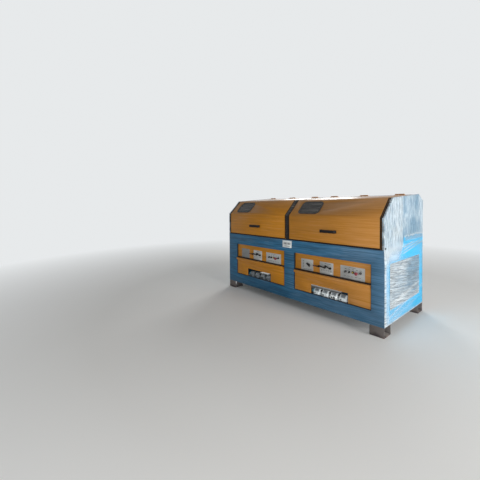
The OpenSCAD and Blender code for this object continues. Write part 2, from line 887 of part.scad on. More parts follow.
// Folded hood: front, steep slope and roof in one sheet, with turned-in edges
module hood_shell(bay) {
    x0 = hood_x(bay) - hood_w / 2;
    color(ORANGE) difference() {
        union() {
            along_x(x0, hood_w) polygon(band(HOOD_LINE, 0, hood_t));
            for (x = [x0, x0 + hood_w - hood_t]) {
                along_x(x, hood_t) polygon(band(HOOD_LINE, 0, hood_return));
            }
            between([x0, front_y, deck_z + hood_gap],
                [x0 + hood_w, front_y + hood_return, deck_z + hood_gap + hood_t]);
            on_hinge() between([x0, -side_clear - hood_t, -knuckle_r - hood_return],
                [x0 + hood_w, -side_clear, -knuckle_r]);
        }
        on_slope(bay) translate([0, 0, -hood_t - 1]) {
            linear_extrude(hood_t + 2) rounded(window_w, window_h, window_r);
        }
    }
}

// Rubber section round a window, clipped over the edge of the sheet
module window_gasket(bay) {
    w = window_w;
    h = window_h;
    r = window_r;
    g = gasket_w;
    color(BLACK) on_slope(bay) difference() {
        union() {
            linear_extrude(4) rounded(w + 2 * g, h + 2 * g, r + g);
            translate([0, 0, -hood_t - 4]) linear_extrude(hood_t + 5) rounded(w - 0.4, h - 0.4, r - 0.2);
        }
        translate([0, 0, -hood_t - 5]) linear_extrude(hood_t + 10) rounded(w - 2 * g, h - 2 * g, r - g);
    }
}

module window_pane(bay) {
    g = gasket_w;
    color(GLASS) on_slope(bay) translate([0, 0, -hood_t]) linear_extrude(pane_t) {
        rounded(window_w - 2 * g, window_h - 2 * g, window_r - g);
    }
}

// Bow handle: a bar on two feet, drawn from the side it is gripped from
module hood_handle(bay) {
    foot = 26;
    bar = 16;
    z = deck_z + handle_z;
    color(BLACK) translate([hood_x(bay), front_y, z - handle_h / 2]) linear_extrude(handle_h) {
        polygon([[-handle_l / 2, 0], [-handle_l / 2, -handle_out * 0.55],
            [-handle_l / 2 + 16, -handle_out], [handle_l / 2 - 16, -handle_out],
            [handle_l / 2, -handle_out * 0.55], [handle_l / 2, 0], [handle_l / 2 - foot, 0],
            [handle_l / 2 - foot - 4, -handle_out + bar], [-handle_l / 2 + foot + 4, -handle_out + bar],
            [-handle_l / 2 + foot, 0]]);
    }
}

// Cast drum with a base flange, a tapered working face and a dished, ribbed top
module drum(bay) {
    r = drum_d / 2;
    f = r + flange_out;
    h = drum_h;
    hub = spindle_r + 32;
    ribs = 8;
    rib_t = 12;
    dish = 40;
    hollow = 30;
    color(STEEL) translate([drum_x(bay), drum_y, deck_z + drum_gap]) difference() {
        union() {
            rotate_extrude($fn = 128) polygon([[hub, hollow], [r - 30, hollow], [r - 30, 0],
                [f - 4, 0], [f, 4], [f, 22], [f - 6, 28], [r + 14, 34], [r + 4, 42], [r, 56],
                [r - 4, h - 30], [r + 6, h - 16], [r + 6, h - 6], [r, h], [r - 22, h],
                [r - 26, h - 6], [r - 30, h - 30], [r - 40, h - dish], [hub + 30, h - dish],
                [hub, h - 12]]);
            cylinder(h = h - 6, r = hub + 4);
            for (i = [0:ribs - 1]) {
                rotate([0, 0, i * 360 / ribs]) translate([hub, -rib_t / 2, h - dish - 4]) {
                    cube([r - 34 - hub, rib_t, 22]);
                }
            }
        }
        translate([0, 0, -1]) cylinder(h = h - 30, r = spindle_r);
    }
}

// Soap trough, open at the top, then the die holder with its clamp screw
module die_boxes() {
    for (bay = BAYS) {
        die_box(bay);
    }
}

module die_box(bay) {
    l = die_box_l;
    w = die_box_w;
    wall = 6;
    floor_z = wire_h - 62;
    trough_l = l * 0.6;
    guide_r = 14;
    foot_t = 10;
    holder_end = l / 2 - 18;
    holder_top = wire_h + 52;
    color(CAST) translate([hood_x(bay) - die_shift, wire_y, deck_z]) {
        between([-l / 2 + 20, -w / 2 + 25, 0], [l / 2 - 20, w / 2 - 25, foot_t]);
        between([-l / 2 + 50, -w / 2 + 40, foot_t], [l / 2 - 50, w / 2 - 40, floor_z]);
        difference() {
            between([-l / 2, -w / 2, floor_z], [-l / 2 + trough_l, w / 2, wire_h + 40]);
            between([-l / 2 + wall, -w / 2 + wall, floor_z + wall],
                [-l / 2 + trough_l - wall, w / 2 - wall, wire_h + 41]);
            translate([-l / 2 - 1, 0, wire_h]) rotate([0, 90, 0]) {
                cylinder(h = trough_l + 2, r = guide_r);
            }
        }
        difference() {
            union() {
                between([-l / 2 + trough_l, -w / 2 + 8, floor_z], [holder_end, w / 2 - 8, holder_top]);
                die_clamp(holder_end, holder_top);
            }
            translate([-l / 2 + trough_l - 1, 0, wire_h]) rotate([0, 90, 0]) {
                cylinder(h = l, r = guide_r);
            }
        }
    }
}

// Hexagonal nut round the wire, and a clamp screw with a cross bar on top
module die_clamp(holder_end, holder_top) {
    nut_l = 18;
    screw_l = 34;
    bar_l = 70;
    bar_s = 10;
    translate([holder_end, 0, wire_h]) rotate([0, 90, 0]) cylinder(h = nut_l, r = 42, $fn = 6);
    translate([holder_end - 42, 0, holder_top - 1]) cylinder(h = screw_l, r = 9);
    translate([holder_end - 42 - bar_l / 2, -bar_s / 2, holder_top + screw_l - bar_s - 1]) {
        cube([bar_l, bar_s, bar_s]);
    }
}

// Post with a swinging arm and a grooved pulley that feels the wire's tension
module tension_arms() {
    for (bay = BAYS) {
        tension_arm(bay);
    }
}

module tension_arm(bay) {
    r = pulley_d / 2;
    reach = 150;
    swing = 28;
    arm_z = wire_h - 54;
    arm_t = 20;
    post_r = 26;
    color(CAST) translate([hood_x(bay) + arm_shift, wire_y + r + 120, deck_z]) {
        cylinder(h = 16, r = post_r + 34);
        cylinder(h = arm_z + 2, r = post_r);
        translate([0, 0, arm_z - 2]) cylinder(h = arm_t + 6, r = post_r + 8);
        rotate([0, 0, -90 - swing]) {
            translate([0, -20, arm_z]) cube([reach, 40, arm_t]);
            translate([reach, 0, arm_z]) cylinder(h = arm_t, r = post_r);
            translate([reach, 0, arm_z + arm_t - 2]) cylinder(h = 60, r = 13);
            translate([reach, 0, wire_h - 20]) pulley(r);
        }
    }
}

// Pulley with one wide groove at the height of the wire
module pulley(r) {
    rotate_extrude() polygon([[12, 0], [r, 0], [r, 10], [r - 10, 20], [r, 30], [r, 40],
        [r - 16, 40], [r - 20, 32], [34, 32], [30, 44], [12, 44]]);
}

// Sheave with three wedge grooves, its axis along X
module sheave(d) {
    w = sheave_w;
    groove = 10;
    rotate([0, 90, 0]) rotate_extrude() polygon([[0, -w / 2], [d / 2, -w / 2], [d / 2, -w / 2 + 8],
        [d / 2 - groove, -w / 2 + 12], [d / 2 - groove, w / 2 - 12], [d / 2, w / 2 - 8],
        [d / 2, w / 2], [0, w / 2]]);
}

// Gearbox hung under the deck, its spindle through the deck and its pulley at the left
module gearboxes() {
    for (bay = BAYS) {
        gearbox(bay);
    }
}

module gearbox(bay) {
    s = gearbox_s;
    top = deck_z - deck_t;
    flange_t = 24;
    rib_out = 14;
    rib_t = 24;
    step = 30;
    shaft_r = 24;
    boss_l = 22;
    spindle_l = deck_t + drum_gap + drum_h - 40;
    color(CAST) translate([drum_x(bay), drum_y, 0]) {
        translate([0, 0, top - flange_t]) cylinder(h = flange_t, r = s * 0.58);
        between([-s / 2, -s / 2, top - gearbox_h + step], [s / 2, s / 2, top - flange_t + 4]);
        between([-s / 2 + step, -s / 2 + step, top - gearbox_h],
            [s / 2 - step, s / 2 - step, top - flange_t + 4]);
        between([-s / 2 - rib_out, -s / 2 - rib_out, gearbox_axis_z - rib_t / 2],
            [s / 2 + rib_out, s / 2 + rib_out, gearbox_axis_z + rib_t / 2]);
        translate([0, 0, top - 1]) cylinder(h = spindle_l, r = spindle_r - 0.05);
        translate([0, 0, deck_z]) cylinder(h = drum_gap, r = spindle_r + 5);
        translate([-s / 2 - boss_l, 0, gearbox_axis_z]) rotate([0, 90, 0]) {
            cylinder(h = boss_l + 8, r = 2.5 * shaft_r);
        }
        translate([sheave_x, 0, gearbox_axis_z]) {
            rotate([0, 90, 0]) cylinder(h = -sheave_x - s / 2 + 5, r = shaft_r);
            sheave(big_sheave_d);
        }
    }
}

// Finned motor on two feet, with its fan cowl, terminal box and pulley
module motors() {
    for (bay = BAYS) {
        motor(bay);
    }
}

module motor(bay) {
    r = motor_r;
    l = motor_l;
    fins = 24;
    fin_t = 5;
    fin_h = 16;
    ring_l = 24;
    cowl_l = 90;
    foot_t = 18;
    foot_l = 56;
    web_t = 20;
    color(BLUE) translate([drum_x(bay) + motor_shift, motor_y, motor_z]) {
        rotate([0, 90, 0]) cylinder(h = l, r = r - fin_h + 4, center = true);
        for (i = [0:fins - 1]) {
            rotate([i * 360 / fins, 0, 0]) translate([-l / 2 + 30, -fin_t / 2, r - fin_h]) {
                cube([l - 60, fin_t, fin_h]);
            }
        }
        for (x = [-l / 2, l / 2 - ring_l]) {
            translate([x, 0, 0]) rotate([0, 90, 0]) cylinder(h = ring_l, r = r + 4);
        }
        translate([l / 2 - 1, 0, 0]) rotate([0, 90, 0]) cylinder(h = cowl_l, r = r);
        translate([l / 2 + cowl_l - 2, 0, 0]) rotate([0, 90, 0]) cylinder(h = 12, r1 = r, r2 = r - 18);
        terminal_box();
        for (x = [-motor_foot_x, motor_foot_x]) {
            between([x - foot_l / 2, -foot_reach, -motor_centre_h],
                [x + foot_l / 2, foot_reach, -motor_centre_h + foot_t]);
            between([x - web_t / 2, -foot_reach + 30, -motor_centre_h + foot_t / 2],
                [x + web_t / 2, foot_reach - 30, -r * 0.6]);
        }
        translate([-l / 2 - motor_gap - sheave_w / 2, 0, 0]) {
            rotate([0, 90, 0]) cylinder(h = motor_gap + sheave_w / 2 + 1, r = 20);
            sheave(small_sheave_d);
        }
    }
}

module terminal_box() {
    box_l = 130;
    box_w = 120;
    box_h = 66;
    translate([-40, -box_w / 2, motor_r - 20]) cube([box_l, box_w, box_h]);
}

// Closed line of a belt at rest round two sheaves: an arc round each, joined by the straights
BELT_STEPS = 40;
function on_circle(r, a) = r * [cos(a), sin(a)];
function belt_line(r1, r2, at) = let (
    base = atan2(at[1], at[0]),
    lean = acos((r1 - r2) / norm(at))
) concat(
    [for (i = [0:BELT_STEPS]) on_circle(r1, base + lean + i * (360 - 2 * lean) / BELT_STEPS)],
    [for (i = [0:BELT_STEPS]) at + on_circle(r2, base - lean + 2 * i * lean / BELT_STEPS)]
);

module drive_belts() {
    belt_t = 14;
    seat = 10;
    play = 0.5;
    w = sheave_w - 28;
    at = [motor_back, motor_z - gearbox_axis_z];
    r1 = big_sheave_d / 2 - seat;
    r2 = small_sheave_d / 2 - seat;
    color(BLACK) for (bay = BAYS) {
        translate([0, drum_y, gearbox_axis_z]) along_x(drum_x(bay) + sheave_x - w / 2, w) {
            difference() {
                polygon(belt_line(r1 + belt_t, r2 + belt_t, at));
                polygon(belt_line(r1 + play, r2 + play, at));
            }
        }
    }
}

skid_feet();
front_face_plate();
rear_face_plate();
end_face_plates();
frame_posts();
base_beams();
cross_beams();
deck_plate();
mid_bulkhead();
control_panel("left");  // control_panel_left
control_panel("right");  // control_panel_right
access_cover("left");  // access_cover_left
access_cover("right");  // access_cover_right
rear_panels();
instrument_plates();
control_switches();
start_buttons();
stop_buttons();
air_valves();
water_valves();
number_tag();
end_wall("left");  // end_wall_left
end_wall("right");  // end_wall_right
middle_arch();
hinge_beam();
rear_cowl();
hood_seals();
hinge_blocks();
hood_shell("left");  // hood_shell_left
hood_shell("right");  // hood_shell_right
window_gasket("left");  // window_gasket_left
window_gasket("right");  // window_gasket_right
window_pane("left");  // window_pane_left
window_pane("right");  // window_pane_right
hood_handle("left");  // hood_handle_left
hood_handle("right");  // hood_handle_right
hood_hinges("left");  // hood_hinges_left
hood_hinges("right");  // hood_hinges_right
drum("left");  // drum_left
drum("right");  // drum_right
die_boxes();
tension_arms();
gearboxes();
motors();
drive_belts();
end_films();
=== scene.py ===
import math

import bmesh
import bpy
from mathutils import Matrix, Vector, noise


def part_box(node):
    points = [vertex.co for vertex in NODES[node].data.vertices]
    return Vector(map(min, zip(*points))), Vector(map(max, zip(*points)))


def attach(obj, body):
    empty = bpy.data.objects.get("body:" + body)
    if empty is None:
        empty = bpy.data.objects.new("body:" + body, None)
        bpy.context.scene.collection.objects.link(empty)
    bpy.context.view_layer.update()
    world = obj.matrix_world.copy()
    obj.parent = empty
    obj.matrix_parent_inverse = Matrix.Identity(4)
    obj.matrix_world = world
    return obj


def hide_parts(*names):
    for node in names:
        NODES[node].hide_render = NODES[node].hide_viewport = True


bl_info = {
    "name": "Wire drawing cabinet",
    "version": (1, 0, 0),
    "blender": (4, 5, 0),
    "location": "3D View > Sidebar > Cabinet",
    "description": "Dresses the wire drawing cabinet with its paint, film and small parts",
    "category": "Add Mesh",
}

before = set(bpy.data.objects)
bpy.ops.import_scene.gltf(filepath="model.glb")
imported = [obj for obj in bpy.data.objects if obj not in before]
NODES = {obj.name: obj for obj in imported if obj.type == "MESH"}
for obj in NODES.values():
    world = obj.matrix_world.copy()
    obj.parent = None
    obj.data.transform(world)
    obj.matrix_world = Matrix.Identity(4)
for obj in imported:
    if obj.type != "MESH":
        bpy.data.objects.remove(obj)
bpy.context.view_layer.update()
SIDES = ("left", "right")

# Main planes of the cabinet, taken from the frame
FRONT_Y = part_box("front_face_plate")[0].y
REAR_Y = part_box("rear_face_plate")[1].y
END_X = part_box("end_wall_right")[1].x
DECK_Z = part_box("deck_plate")[1].z
FOOT_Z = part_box("front_face_plate")[0].z
ROOF_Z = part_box("end_wall_right")[1].z

# Directions
LEFT, RIGHT, BACK, UP = (Vector(v) for v in ((-1, 0, 0), (1, 0, 0), (0, 1, 0), (0, 0, 1)))

# Side line of the hoods and of the end walls, in metres
HOOD_FRONT_H = 0.37
SLOPE_RUN, SLOPE_RISE = 0.24, 0.23
CHAMFER_RUN, EAVE_DROP = 0.17, 0.084
ROOF_RISE = 0.06
SLOPE_LOW_Z = DECK_Z + HOOD_FRONT_H
SLOPE_END_Y = FRONT_Y + SLOPE_RUN
ROOF_END_Y = REAR_Y - CHAMFER_RUN
ROOF_SLOPE = ROOF_RISE / (ROOF_END_Y - SLOPE_END_Y)
ROOF_PITCH = math.atan(ROOF_SLOPE)

SETTINGS = {}
GROUPS = {}
MATERIALS = {}


class CabinetColours(bpy.types.PropertyGroup):
    """Colours of the finishes."""
    blue: bpy.props.FloatVectorProperty(
        name="Frame blue", description="Enamel of the frame and the end walls",
        subtype="COLOR", size=3, min=0, max=1, default=(0.021, 0.124, 0.24))
    # The end blue is a lit copy of the frame blue: painted light, with a little film tone, makes the ends
    # paler than the front.
    blue_end: bpy.props.FloatVectorProperty(
        name="End blue", description="The frame's enamel at the ends, paler under its film",
        subtype="COLOR", size=3, min=0, max=1, default=(0.018, 0.35, 0.61))
    orange: bpy.props.FloatVectorProperty(
        name="Panel orange", description="Enamel of the hoods and panels",
        subtype="COLOR", size=3, min=0, max=1, default=(0.5, 0.2, 0.01))
    trim: bpy.props.FloatVectorProperty(
        name="Trim black", description="Paint of the strips beside the hoods",
        subtype="COLOR", size=3, min=0, max=1, default=(0.008, 0.006, 0.005))
    primer: bpy.props.FloatVectorProperty(
        name="Primer", description="Red-brown primer of the feet",
        subtype="COLOR", size=3, min=0, max=1, default=(0.026, 0.018, 0.022))
    casting: bpy.props.FloatVectorProperty(
        name="Casting grey", description="Paint of the gearboxes, die boxes and tension arms",
        subtype="COLOR", size=3, min=0, max=1, default=(0.14, 0.18, 0.21))
    motor: bpy.props.FloatVectorProperty(
        name="Motor blue", description="Paint of the motors",
        subtype="COLOR", size=3, min=0, max=1, default=(0.05, 0.13, 0.24))
    plate: bpy.props.FloatVectorProperty(
        name="Plate grey", description="Anodised face of the instrument plates",
        subtype="COLOR", size=3, min=0, max=1, default=(0.45, 0.455, 0.445))
    film: bpy.props.FloatVectorProperty(
        name="Stretch film", description="Milky tone of the wrapping film",
        subtype="COLOR", size=3, min=0, max=1, default=(0.46, 0.505, 0.53))
    dust: bpy.props.FloatVectorProperty(
        name="Dust", description="Dust that settles on level surfaces",
        subtype="COLOR", size=3, min=0, max=1, default=(0.42, 0.39, 0.35))


class CabinetSizes(bpy.types.PropertyGroup):
    """Sizes of the small parts."""
    screw_r: bpy.props.FloatProperty(
        name="Screw radius", description="Radius of the panel screw heads",
        unit="LENGTH", min=0.002, max=0.01, default=0.0045)
    bolt_r: bpy.props.FloatProperty(
        name="Bolt radius", description="Radius across the corners of a hexagon bolt",
        unit="LENGTH", min=0.006, max=0.02, default=0.0115)
    bead_r: bpy.props.FloatProperty(
        name="Bead radius", description="Radius of the locking bead round a window",
        unit="LENGTH", min=0.001, max=0.004, default=0.0024)
    valve_pitch: bpy.props.FloatProperty(
        name="Valve pitch", description="Distance between the water valves",
        unit="LENGTH", min=0.11, max=0.14, default=0.128)
    film_stand: bpy.props.FloatProperty(
        name="Film stand-off", description="Gap between the film and the metal under it",
        unit="LENGTH", min=0.001, max=0.006, default=0.0025)
    film_crease: bpy.props.FloatProperty(
        name="Film crease", description="Height of the creases in the film",
        unit="LENGTH", min=0.0, max=0.02, default=0.005)


class CabinetStage(bpy.types.PropertyGroup):
    """Camera, lamps and floor."""
    camera_place: bpy.props.FloatVectorProperty(
        name="Camera place", description="Where the camera stands",
        subtype="TRANSLATION", unit="LENGTH", size=3, default=(2.693, -3.853, 1.526))
    camera_yaw: bpy.props.FloatProperty(
        name="Camera yaw", description="Heading of the camera, to the right of +Y",
        unit="ROTATION", default=math.radians(-49.798))
    camera_pitch: bpy.props.FloatProperty(
        name="Camera pitch", description="Tilt of the camera above the level",
        unit="ROTATION", default=math.radians(-1.2547))
    camera_roll: bpy.props.FloatProperty(
        name="Camera roll", description="Turn of the camera about its own line of sight",
        unit="ROTATION", default=math.radians(-0.5035))
    camera_lens: bpy.props.FloatProperty(
        name="Lens", description="Focal length for a 36 mm wide picture",
        min=10, max=200, default=20.617)
    shift_x: bpy.props.FloatProperty(
        name="Shift across", description="Sideways shift of the picture", default=0.003125)
    shift_y: bpy.props.FloatProperty(
        name="Shift up", description="Upward shift of the picture", default=-0.059375)
    floor_grey: bpy.props.FloatProperty(
        name="Floor grey", description="Tone of the floor", min=0, max=1, default=0.93)
    sky: bpy.props.FloatProperty(
        name="Sky", description="Strength of the even light from all round",
        min=0, max=2, default=0.19)
    key: bpy.props.FloatProperty(
        name="Key lamp", description="Power of the large lamp off the right end, in watts",
        min=0, max=5000, default=570)
    fill: bpy.props.FloatProperty(
        name="Fill lamp", description="Power of the lamp in front, beside the camera, in watts",
        min=0, max=5000, default=175)
    back: bpy.props.FloatProperty(
        name="Back lamp", description="Power of the lamp off the left rear corner, in watts",
        min=0, max=5000, default=230)


# Selecting and shaping in edit mode

def begin():
    """Leave edit mode and select nothing, so that the next primitive stands alone."""
    if bpy.context.object and bpy.context.object.mode != "OBJECT":
        bpy.ops.object.mode_set(mode="OBJECT")
    bpy.ops.object.select_all(action="DESELECT")


def edit():
    """Open the active object's mesh for shaping."""
    bpy.ops.object.mode_set(mode="EDIT")
    return bpy.context.object


def leave():
    """Leave edit mode and give the piece."""
    bpy.ops.object.mode_set(mode="OBJECT")
    return bpy.context.object


def settle():
    """Settle place, turn and scale of the selected piece into its mesh, and give the piece."""
    bpy.ops.object.transform_apply(location=True, rotation=True, scale=True)
    return bpy.context.object


def close():
    """Close the mesh and settle place, turn and scale into it."""
    if bpy.context.object.mode != "OBJECT":
        leave()
    return settle()


def select(piece):
    """Select one piece alone and make it active."""
    begin()
    piece.select_set(True)
    bpy.context.view_layer.objects.active = piece


def pick(kind, test):
    """Select the faces, edges or vertices of the mesh in edit mode for which test is true."""
    piece = bpy.context.object
    bpy.ops.mesh.select_mode(type=kind)
    bpy.ops.mesh.select_all(action="DESELECT")
    mesh = bmesh.from_edit_mesh(piece.data)
    items = {"FACE": mesh.faces, "EDGE": mesh.edges, "VERT": mesh.verts}[kind]
    for item in items:
        if test(item):
            item.select_set(True)
    mesh.select_flush_mode()
    bmesh.update_edit_mesh(piece.data)


def middle(edge):
    """Middle point of an edge."""
    return (edge.verts[0].co + edge.verts[1].co) / 2


def pick_all():
    """Select the whole mesh in edit mode."""
    bpy.ops.mesh.select_all(action="SELECT")


def pick_top(above=0.0):
    """Select the faces that look up, above a height."""
    pick("FACE", lambda f: f.normal.z > 0.9 and f.calc_center_median().z > above)


def inset(rim, depth=0.0):
    """Inset the selected faces."""
    bpy.ops.mesh.inset(thickness=rim, depth=depth)


def extrude(*move):
    """Extrude the selection by a move."""
    bpy.ops.mesh.extrude_region_move(TRANSFORM_OT_translate={"value": move})


def bevel_edges(width, segments=2):
    """Round the selected edges."""
    bpy.ops.mesh.bevel(offset=width, segments=segments, affect="EDGES")


def round_corners(width, segments):
    """Round the corners of a flat sheet."""
    pick_all()
    bpy.ops.mesh.bevel(offset=width, segments=segments, affect="VERTICES")


def face_outwards():
    """Turn all faces outwards."""
    pick_all()
    bpy.ops.mesh.normals_make_consistent(inside=False)


def hollow(above, rim, depth):
    """Sink the top of the active piece inside a rim, and give the piece."""
    edit()
    pick_top(above)
    inset(rim)
    extrude(0, 0, -depth)
    return leave()


def block(lo, hi, bevel=0.0, segments=2):
    """A box between two corners with its edges rounded."""
    lo, hi = Vector(lo), Vector(hi)
    begin()
    bpy.ops.mesh.primitive_cube_add(size=1, location=(lo + hi) / 2, scale=hi - lo)
    bpy.ops.object.transform_apply(location=False, rotation=False, scale=True)
    if bevel:
        edit()
        pick_all()
        bevel_edges(bevel, segments)
    return close()


def patch(low, high):
    """A square metre of print, to be scaled where it lies, between two heights."""
    return block((-0.5, -0.5, low), (0.5, 0.5, high))


def is_level(edge):
    """True for an edge at one height."""
    return abs(edge.verts[0].co.z - edge.verts[1].co.z) < 1e-6


def disc(radius, height, sides=24, bevel=0.0):
    """A turned disc that stands on the origin along +Z, its upper rim rounded."""
    begin()
    bpy.ops.mesh.primitive_cylinder_add(vertices=sides, radius=radius, depth=height,
                                        location=(0, 0, height / 2))
    if bevel:
        edit()
        pick("EDGE", lambda e: middle(e).z > height * 0.49 and is_level(e))
        bevel_edges(bevel)
    return close()


def screw_head(radius, height):
    """A domed screw head with a round socket, standing on the origin along +Z."""
    disc(radius, height, 18, height * 0.3)
    return hollow(height * 0.9, radius * 0.4, height * 0.45)


def bolt_head(radius, height):
    """A hexagon head on a washer, standing on the origin along +Z."""
    washer = disc(radius * 1.25, height * 0.2, 20, height * 0.05)
    begin()
    bpy.ops.mesh.primitive_cylinder_add(vertices=6, radius=radius, depth=height * 0.8,
                                        location=(0, 0, height * 0.58))
    edit()
    pick_top()
    inset(radius * 0.14)
    bpy.ops.transform.translate(value=(0, 0, height * 0.05))
    return join([washer, close()])


def ring(radius, wire_r, sides, wire_sides, z, **turn):
    """A round wire ring at a height."""
    begin()
    bpy.ops.mesh.primitive_torus_add(major_radius=radius, minor_radius=wire_r, major_segments=sides,
                                     minor_segments=wire_sides, location=(0, 0, z), **turn)
    return close()


def join(pieces):
    """Join the pieces into the first one."""
    begin()
    for piece in pieces:
        piece.select_set(True)
    bpy.context.view_layer.objects.active = pieces[0]
    if len(pieces) > 1:
        bpy.ops.object.join()
    return pieces[0]


def standing(place, out=UP):
    """Matrix that stands a part on a place, with its +Z along out."""
    return Matrix.Translation(place) @ Vector(out).to_track_quat("Z", "Y").to_matrix().to_4x4()


def around(centre, radius, count, first):
    """Upright places on a circle round a centre, the first at an angle in degrees."""
    turns = (math.radians(first + 360 / count * i) for i in range(count))
    return [standing(centre + radius * Vector((math.cos(turn), math.sin(turn), 0))) for turn in turns]


def repeat(template, places):
    """Copy the template to each place, each copy with its own mesh, and join the copies."""
    copies = []
    for matrix in places:
        copy = template.copy()
        copy.data = template.data.copy()
        copy.matrix_world = matrix
        bpy.context.collection.objects.link(copy)
        copies.append(copy)
    bpy.data.objects.remove(template)
    join(copies)
    return settle()


def smooth(piece, angle=35):
    """Shade the piece smooth, with sharp edges above the angle."""
    select(piece)
    bpy.ops.object.shade_smooth_by_angle(angle=math.radians(angle))


def dress(piece, name, finish, body="cabinet", shade=35):
    """Name a finished piece, give it its finish and let it ride on a body."""
    piece.name = name
    piece.data.name = name
    piece.data.materials.clear()
    piece.data.materials.append(MATERIALS[finish])
    if shade:
        smooth(piece, shade)
    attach(piece, body)


def solids(name):
    """Lowest and highest corners of each separate solid of a CAD node.

    They go from left to right, then from front to back, then upwards."""
    mesh = bmesh.new()
    mesh.from_mesh(NODES[name].data)
    bmesh.ops.remove_doubles(mesh, verts=mesh.verts, dist=1e-6)
    left = set(mesh.verts)
    boxes = []
    while left:
        queue = [left.pop()]
        group = []
        while queue:
            vertex = queue.pop()
            group.append(vertex.co.copy())
            for edge in vertex.link_edges:
                other = edge.other_vert(vertex)
                if other in left:
                    left.remove(other)
                    queue.append(other)
        boxes.append((Vector([min(p[i] for p in group) for i in range(3)]),
                      Vector([max(p[i] for p in group) for i in range(3)])))
    mesh.free()
    return sorted(boxes, key=lambda b: (b[0].x + b[1].x, b[0].y + b[1].y, b[0].z + b[1].z))


# Shader nodes

class Nodes:
    """Adds shader nodes to one tree. A value for an input is a number, a colour or a result."""

    def __init__(self, tree):
        self.tree = tree

    def feed(self, socket, value):
        """Link a result to a socket, or set the socket's own value."""
        if isinstance(value, bpy.types.NodeSocket):
            self.tree.links.new(value, socket)
        elif socket.type == "RGBA" and len(value) == 3:
            socket.default_value = (*value, 1)
        else:
            socket.default_value = value

    def add(self, kind, inputs=None, **settings):
        """Add a node with its settings and inputs, and give it."""
        made = self.tree.nodes.new("ShaderNode" + kind)
        for key, value in settings.items():
            setattr(made, key, value)
        for key, value in (inputs or {}).items():
            self.feed(made.inputs[key], value)
        return made

    def use(self, group, **values):
        """Place a node group, and give its results."""
        made = self.add("Group", node_tree=GROUPS[group])
        for key, value in values.items():
            self.feed(made.inputs[key.replace("_", " ")], value)
        return made.outputs

    def maths(self, operation, a, b=0.0, clamp=False):
        """Result of a Math node."""
        return self.add("Math", {0: a, 1: b}, operation=operation, use_clamp=clamp).outputs[0]

    def times(self, a, b):
        """Product of two values."""
        return self.maths("MULTIPLY", a, b)

    def plus(self, a, b):
        """Sum of two values."""
        return self.maths("ADD", a, b)

    def vector(self, operation, a, b=None, scale=None):
        """Result of a Vector Math node."""
        inputs = {0: a, 1: b, "Scale": scale}
        inputs = {key: value for key, value in inputs.items() if value is not None}
        return self.add("VectorMath", inputs, operation=operation).outputs[0]

    def mix(self, share, a, b):
        """Colour a, with a share of colour b."""
        return self.add("Mix", {0: share, 6: a, 7: b}, data_type="RGBA").outputs[2]

    def stretch(self, value, low, high, to_low=0.0, to_high=1.0):
        """Map a value from one range to another, clamped."""
        return self.add("MapRange", {0: value, 1: low, 2: high, 3: to_low, 4: to_high}).outputs[0]

    def noise(self, place, scale, detail, roughness=0.5, distortion=0.0, output="Fac"):
        """Noise at a place."""
        return self.add("TexNoise", {"Vector": place, "Scale": scale, "Detail": detail,
                                     "Roughness": roughness, "Distortion": distortion}).outputs[output]

    def place(self):
        """Place on the piece, in the cabinet's own frame."""
        return self.add("TexCoord").outputs["Object"]

    def parts(self, vector):
        """X, Y and Z of a vector."""
        return self.add("SeparateXYZ", {0: vector}).outputs

    def facing_up(self):
        """Z of the surface normal, in the cabinet's own frame."""
        return self.parts(self.add("TexCoord").outputs["Normal"])["Z"]

    def wander(self, place, reach, scale, detail, roughness):
        """A place that wanders by up to half a reach, so that streaks fan out."""
        drift = self.noise(place, scale, detail, roughness, output="Color")
        lean = self.vector("SCALE", self.vector("SUBTRACT", drift, (0.5, 0.5, 0.5)), scale=reach)
        return self.vector("ADD", place, lean)

    def give(self, results, **values):
        """Feed the results of a node group, and give the group."""
        for key, value in values.items():
            self.feed(results[key], value)
        return self.tree


class Finish(Nodes):
    """Nodes of a material round one Principled shader. A socket's name has _ for each space."""

    def __init__(self, name, **plain):
        self.material = bpy.data.materials.new(name)
        self.material.use_nodes = True
        super().__init__(self.material.node_tree)
        self.tree.nodes.clear()
        self.shader = self.add("BsdfPrincipled")
        self.end = self.add("OutputMaterial", {"Surface": self.shader.outputs["BSDF"]})
        self.set(**plain)

    def set(self, **values):
        """Feed the shader's sockets."""
        for key, value in values.items():
            self.feed(self.shader.inputs[key.replace("_", " ")], value)

    def dusted(self, base, amount):
        """A base colour under settled dust."""
        return self.mix(self.use("dust", Amount=amount)["Dust"], base, SETTINGS["dust"])

    def bump(self, height, distance, strength=0.5):
        """Feed a height to the shader's normal, and give the finished material."""
        made = self.add("Bump", {"Height": height, "Distance": distance, "Strength": strength})
        self.set(Normal=made.outputs["Normal"])
        return self.material


def new_group(name, inputs, results):
    """A shader node group: its nodes, its inputs and the sockets of its results."""
    group = bpy.data.node_groups.new(name, "ShaderNodeTree")
    for label, value in inputs.items():
        kind = "NodeSocketVector" if isinstance(value, tuple) else "NodeSocketFloat"
        group.interface.new_socket(name=label, in_out="INPUT", socket_type=kind).default_value = value
    for label in results:
        group.interface.new_socket(name=label, in_out="OUTPUT", socket_type="NodeSocketFloat")
    return Nodes(group), group.nodes.new("NodeGroupInput").outputs, group.nodes.new("NodeGroupOutput").inputs


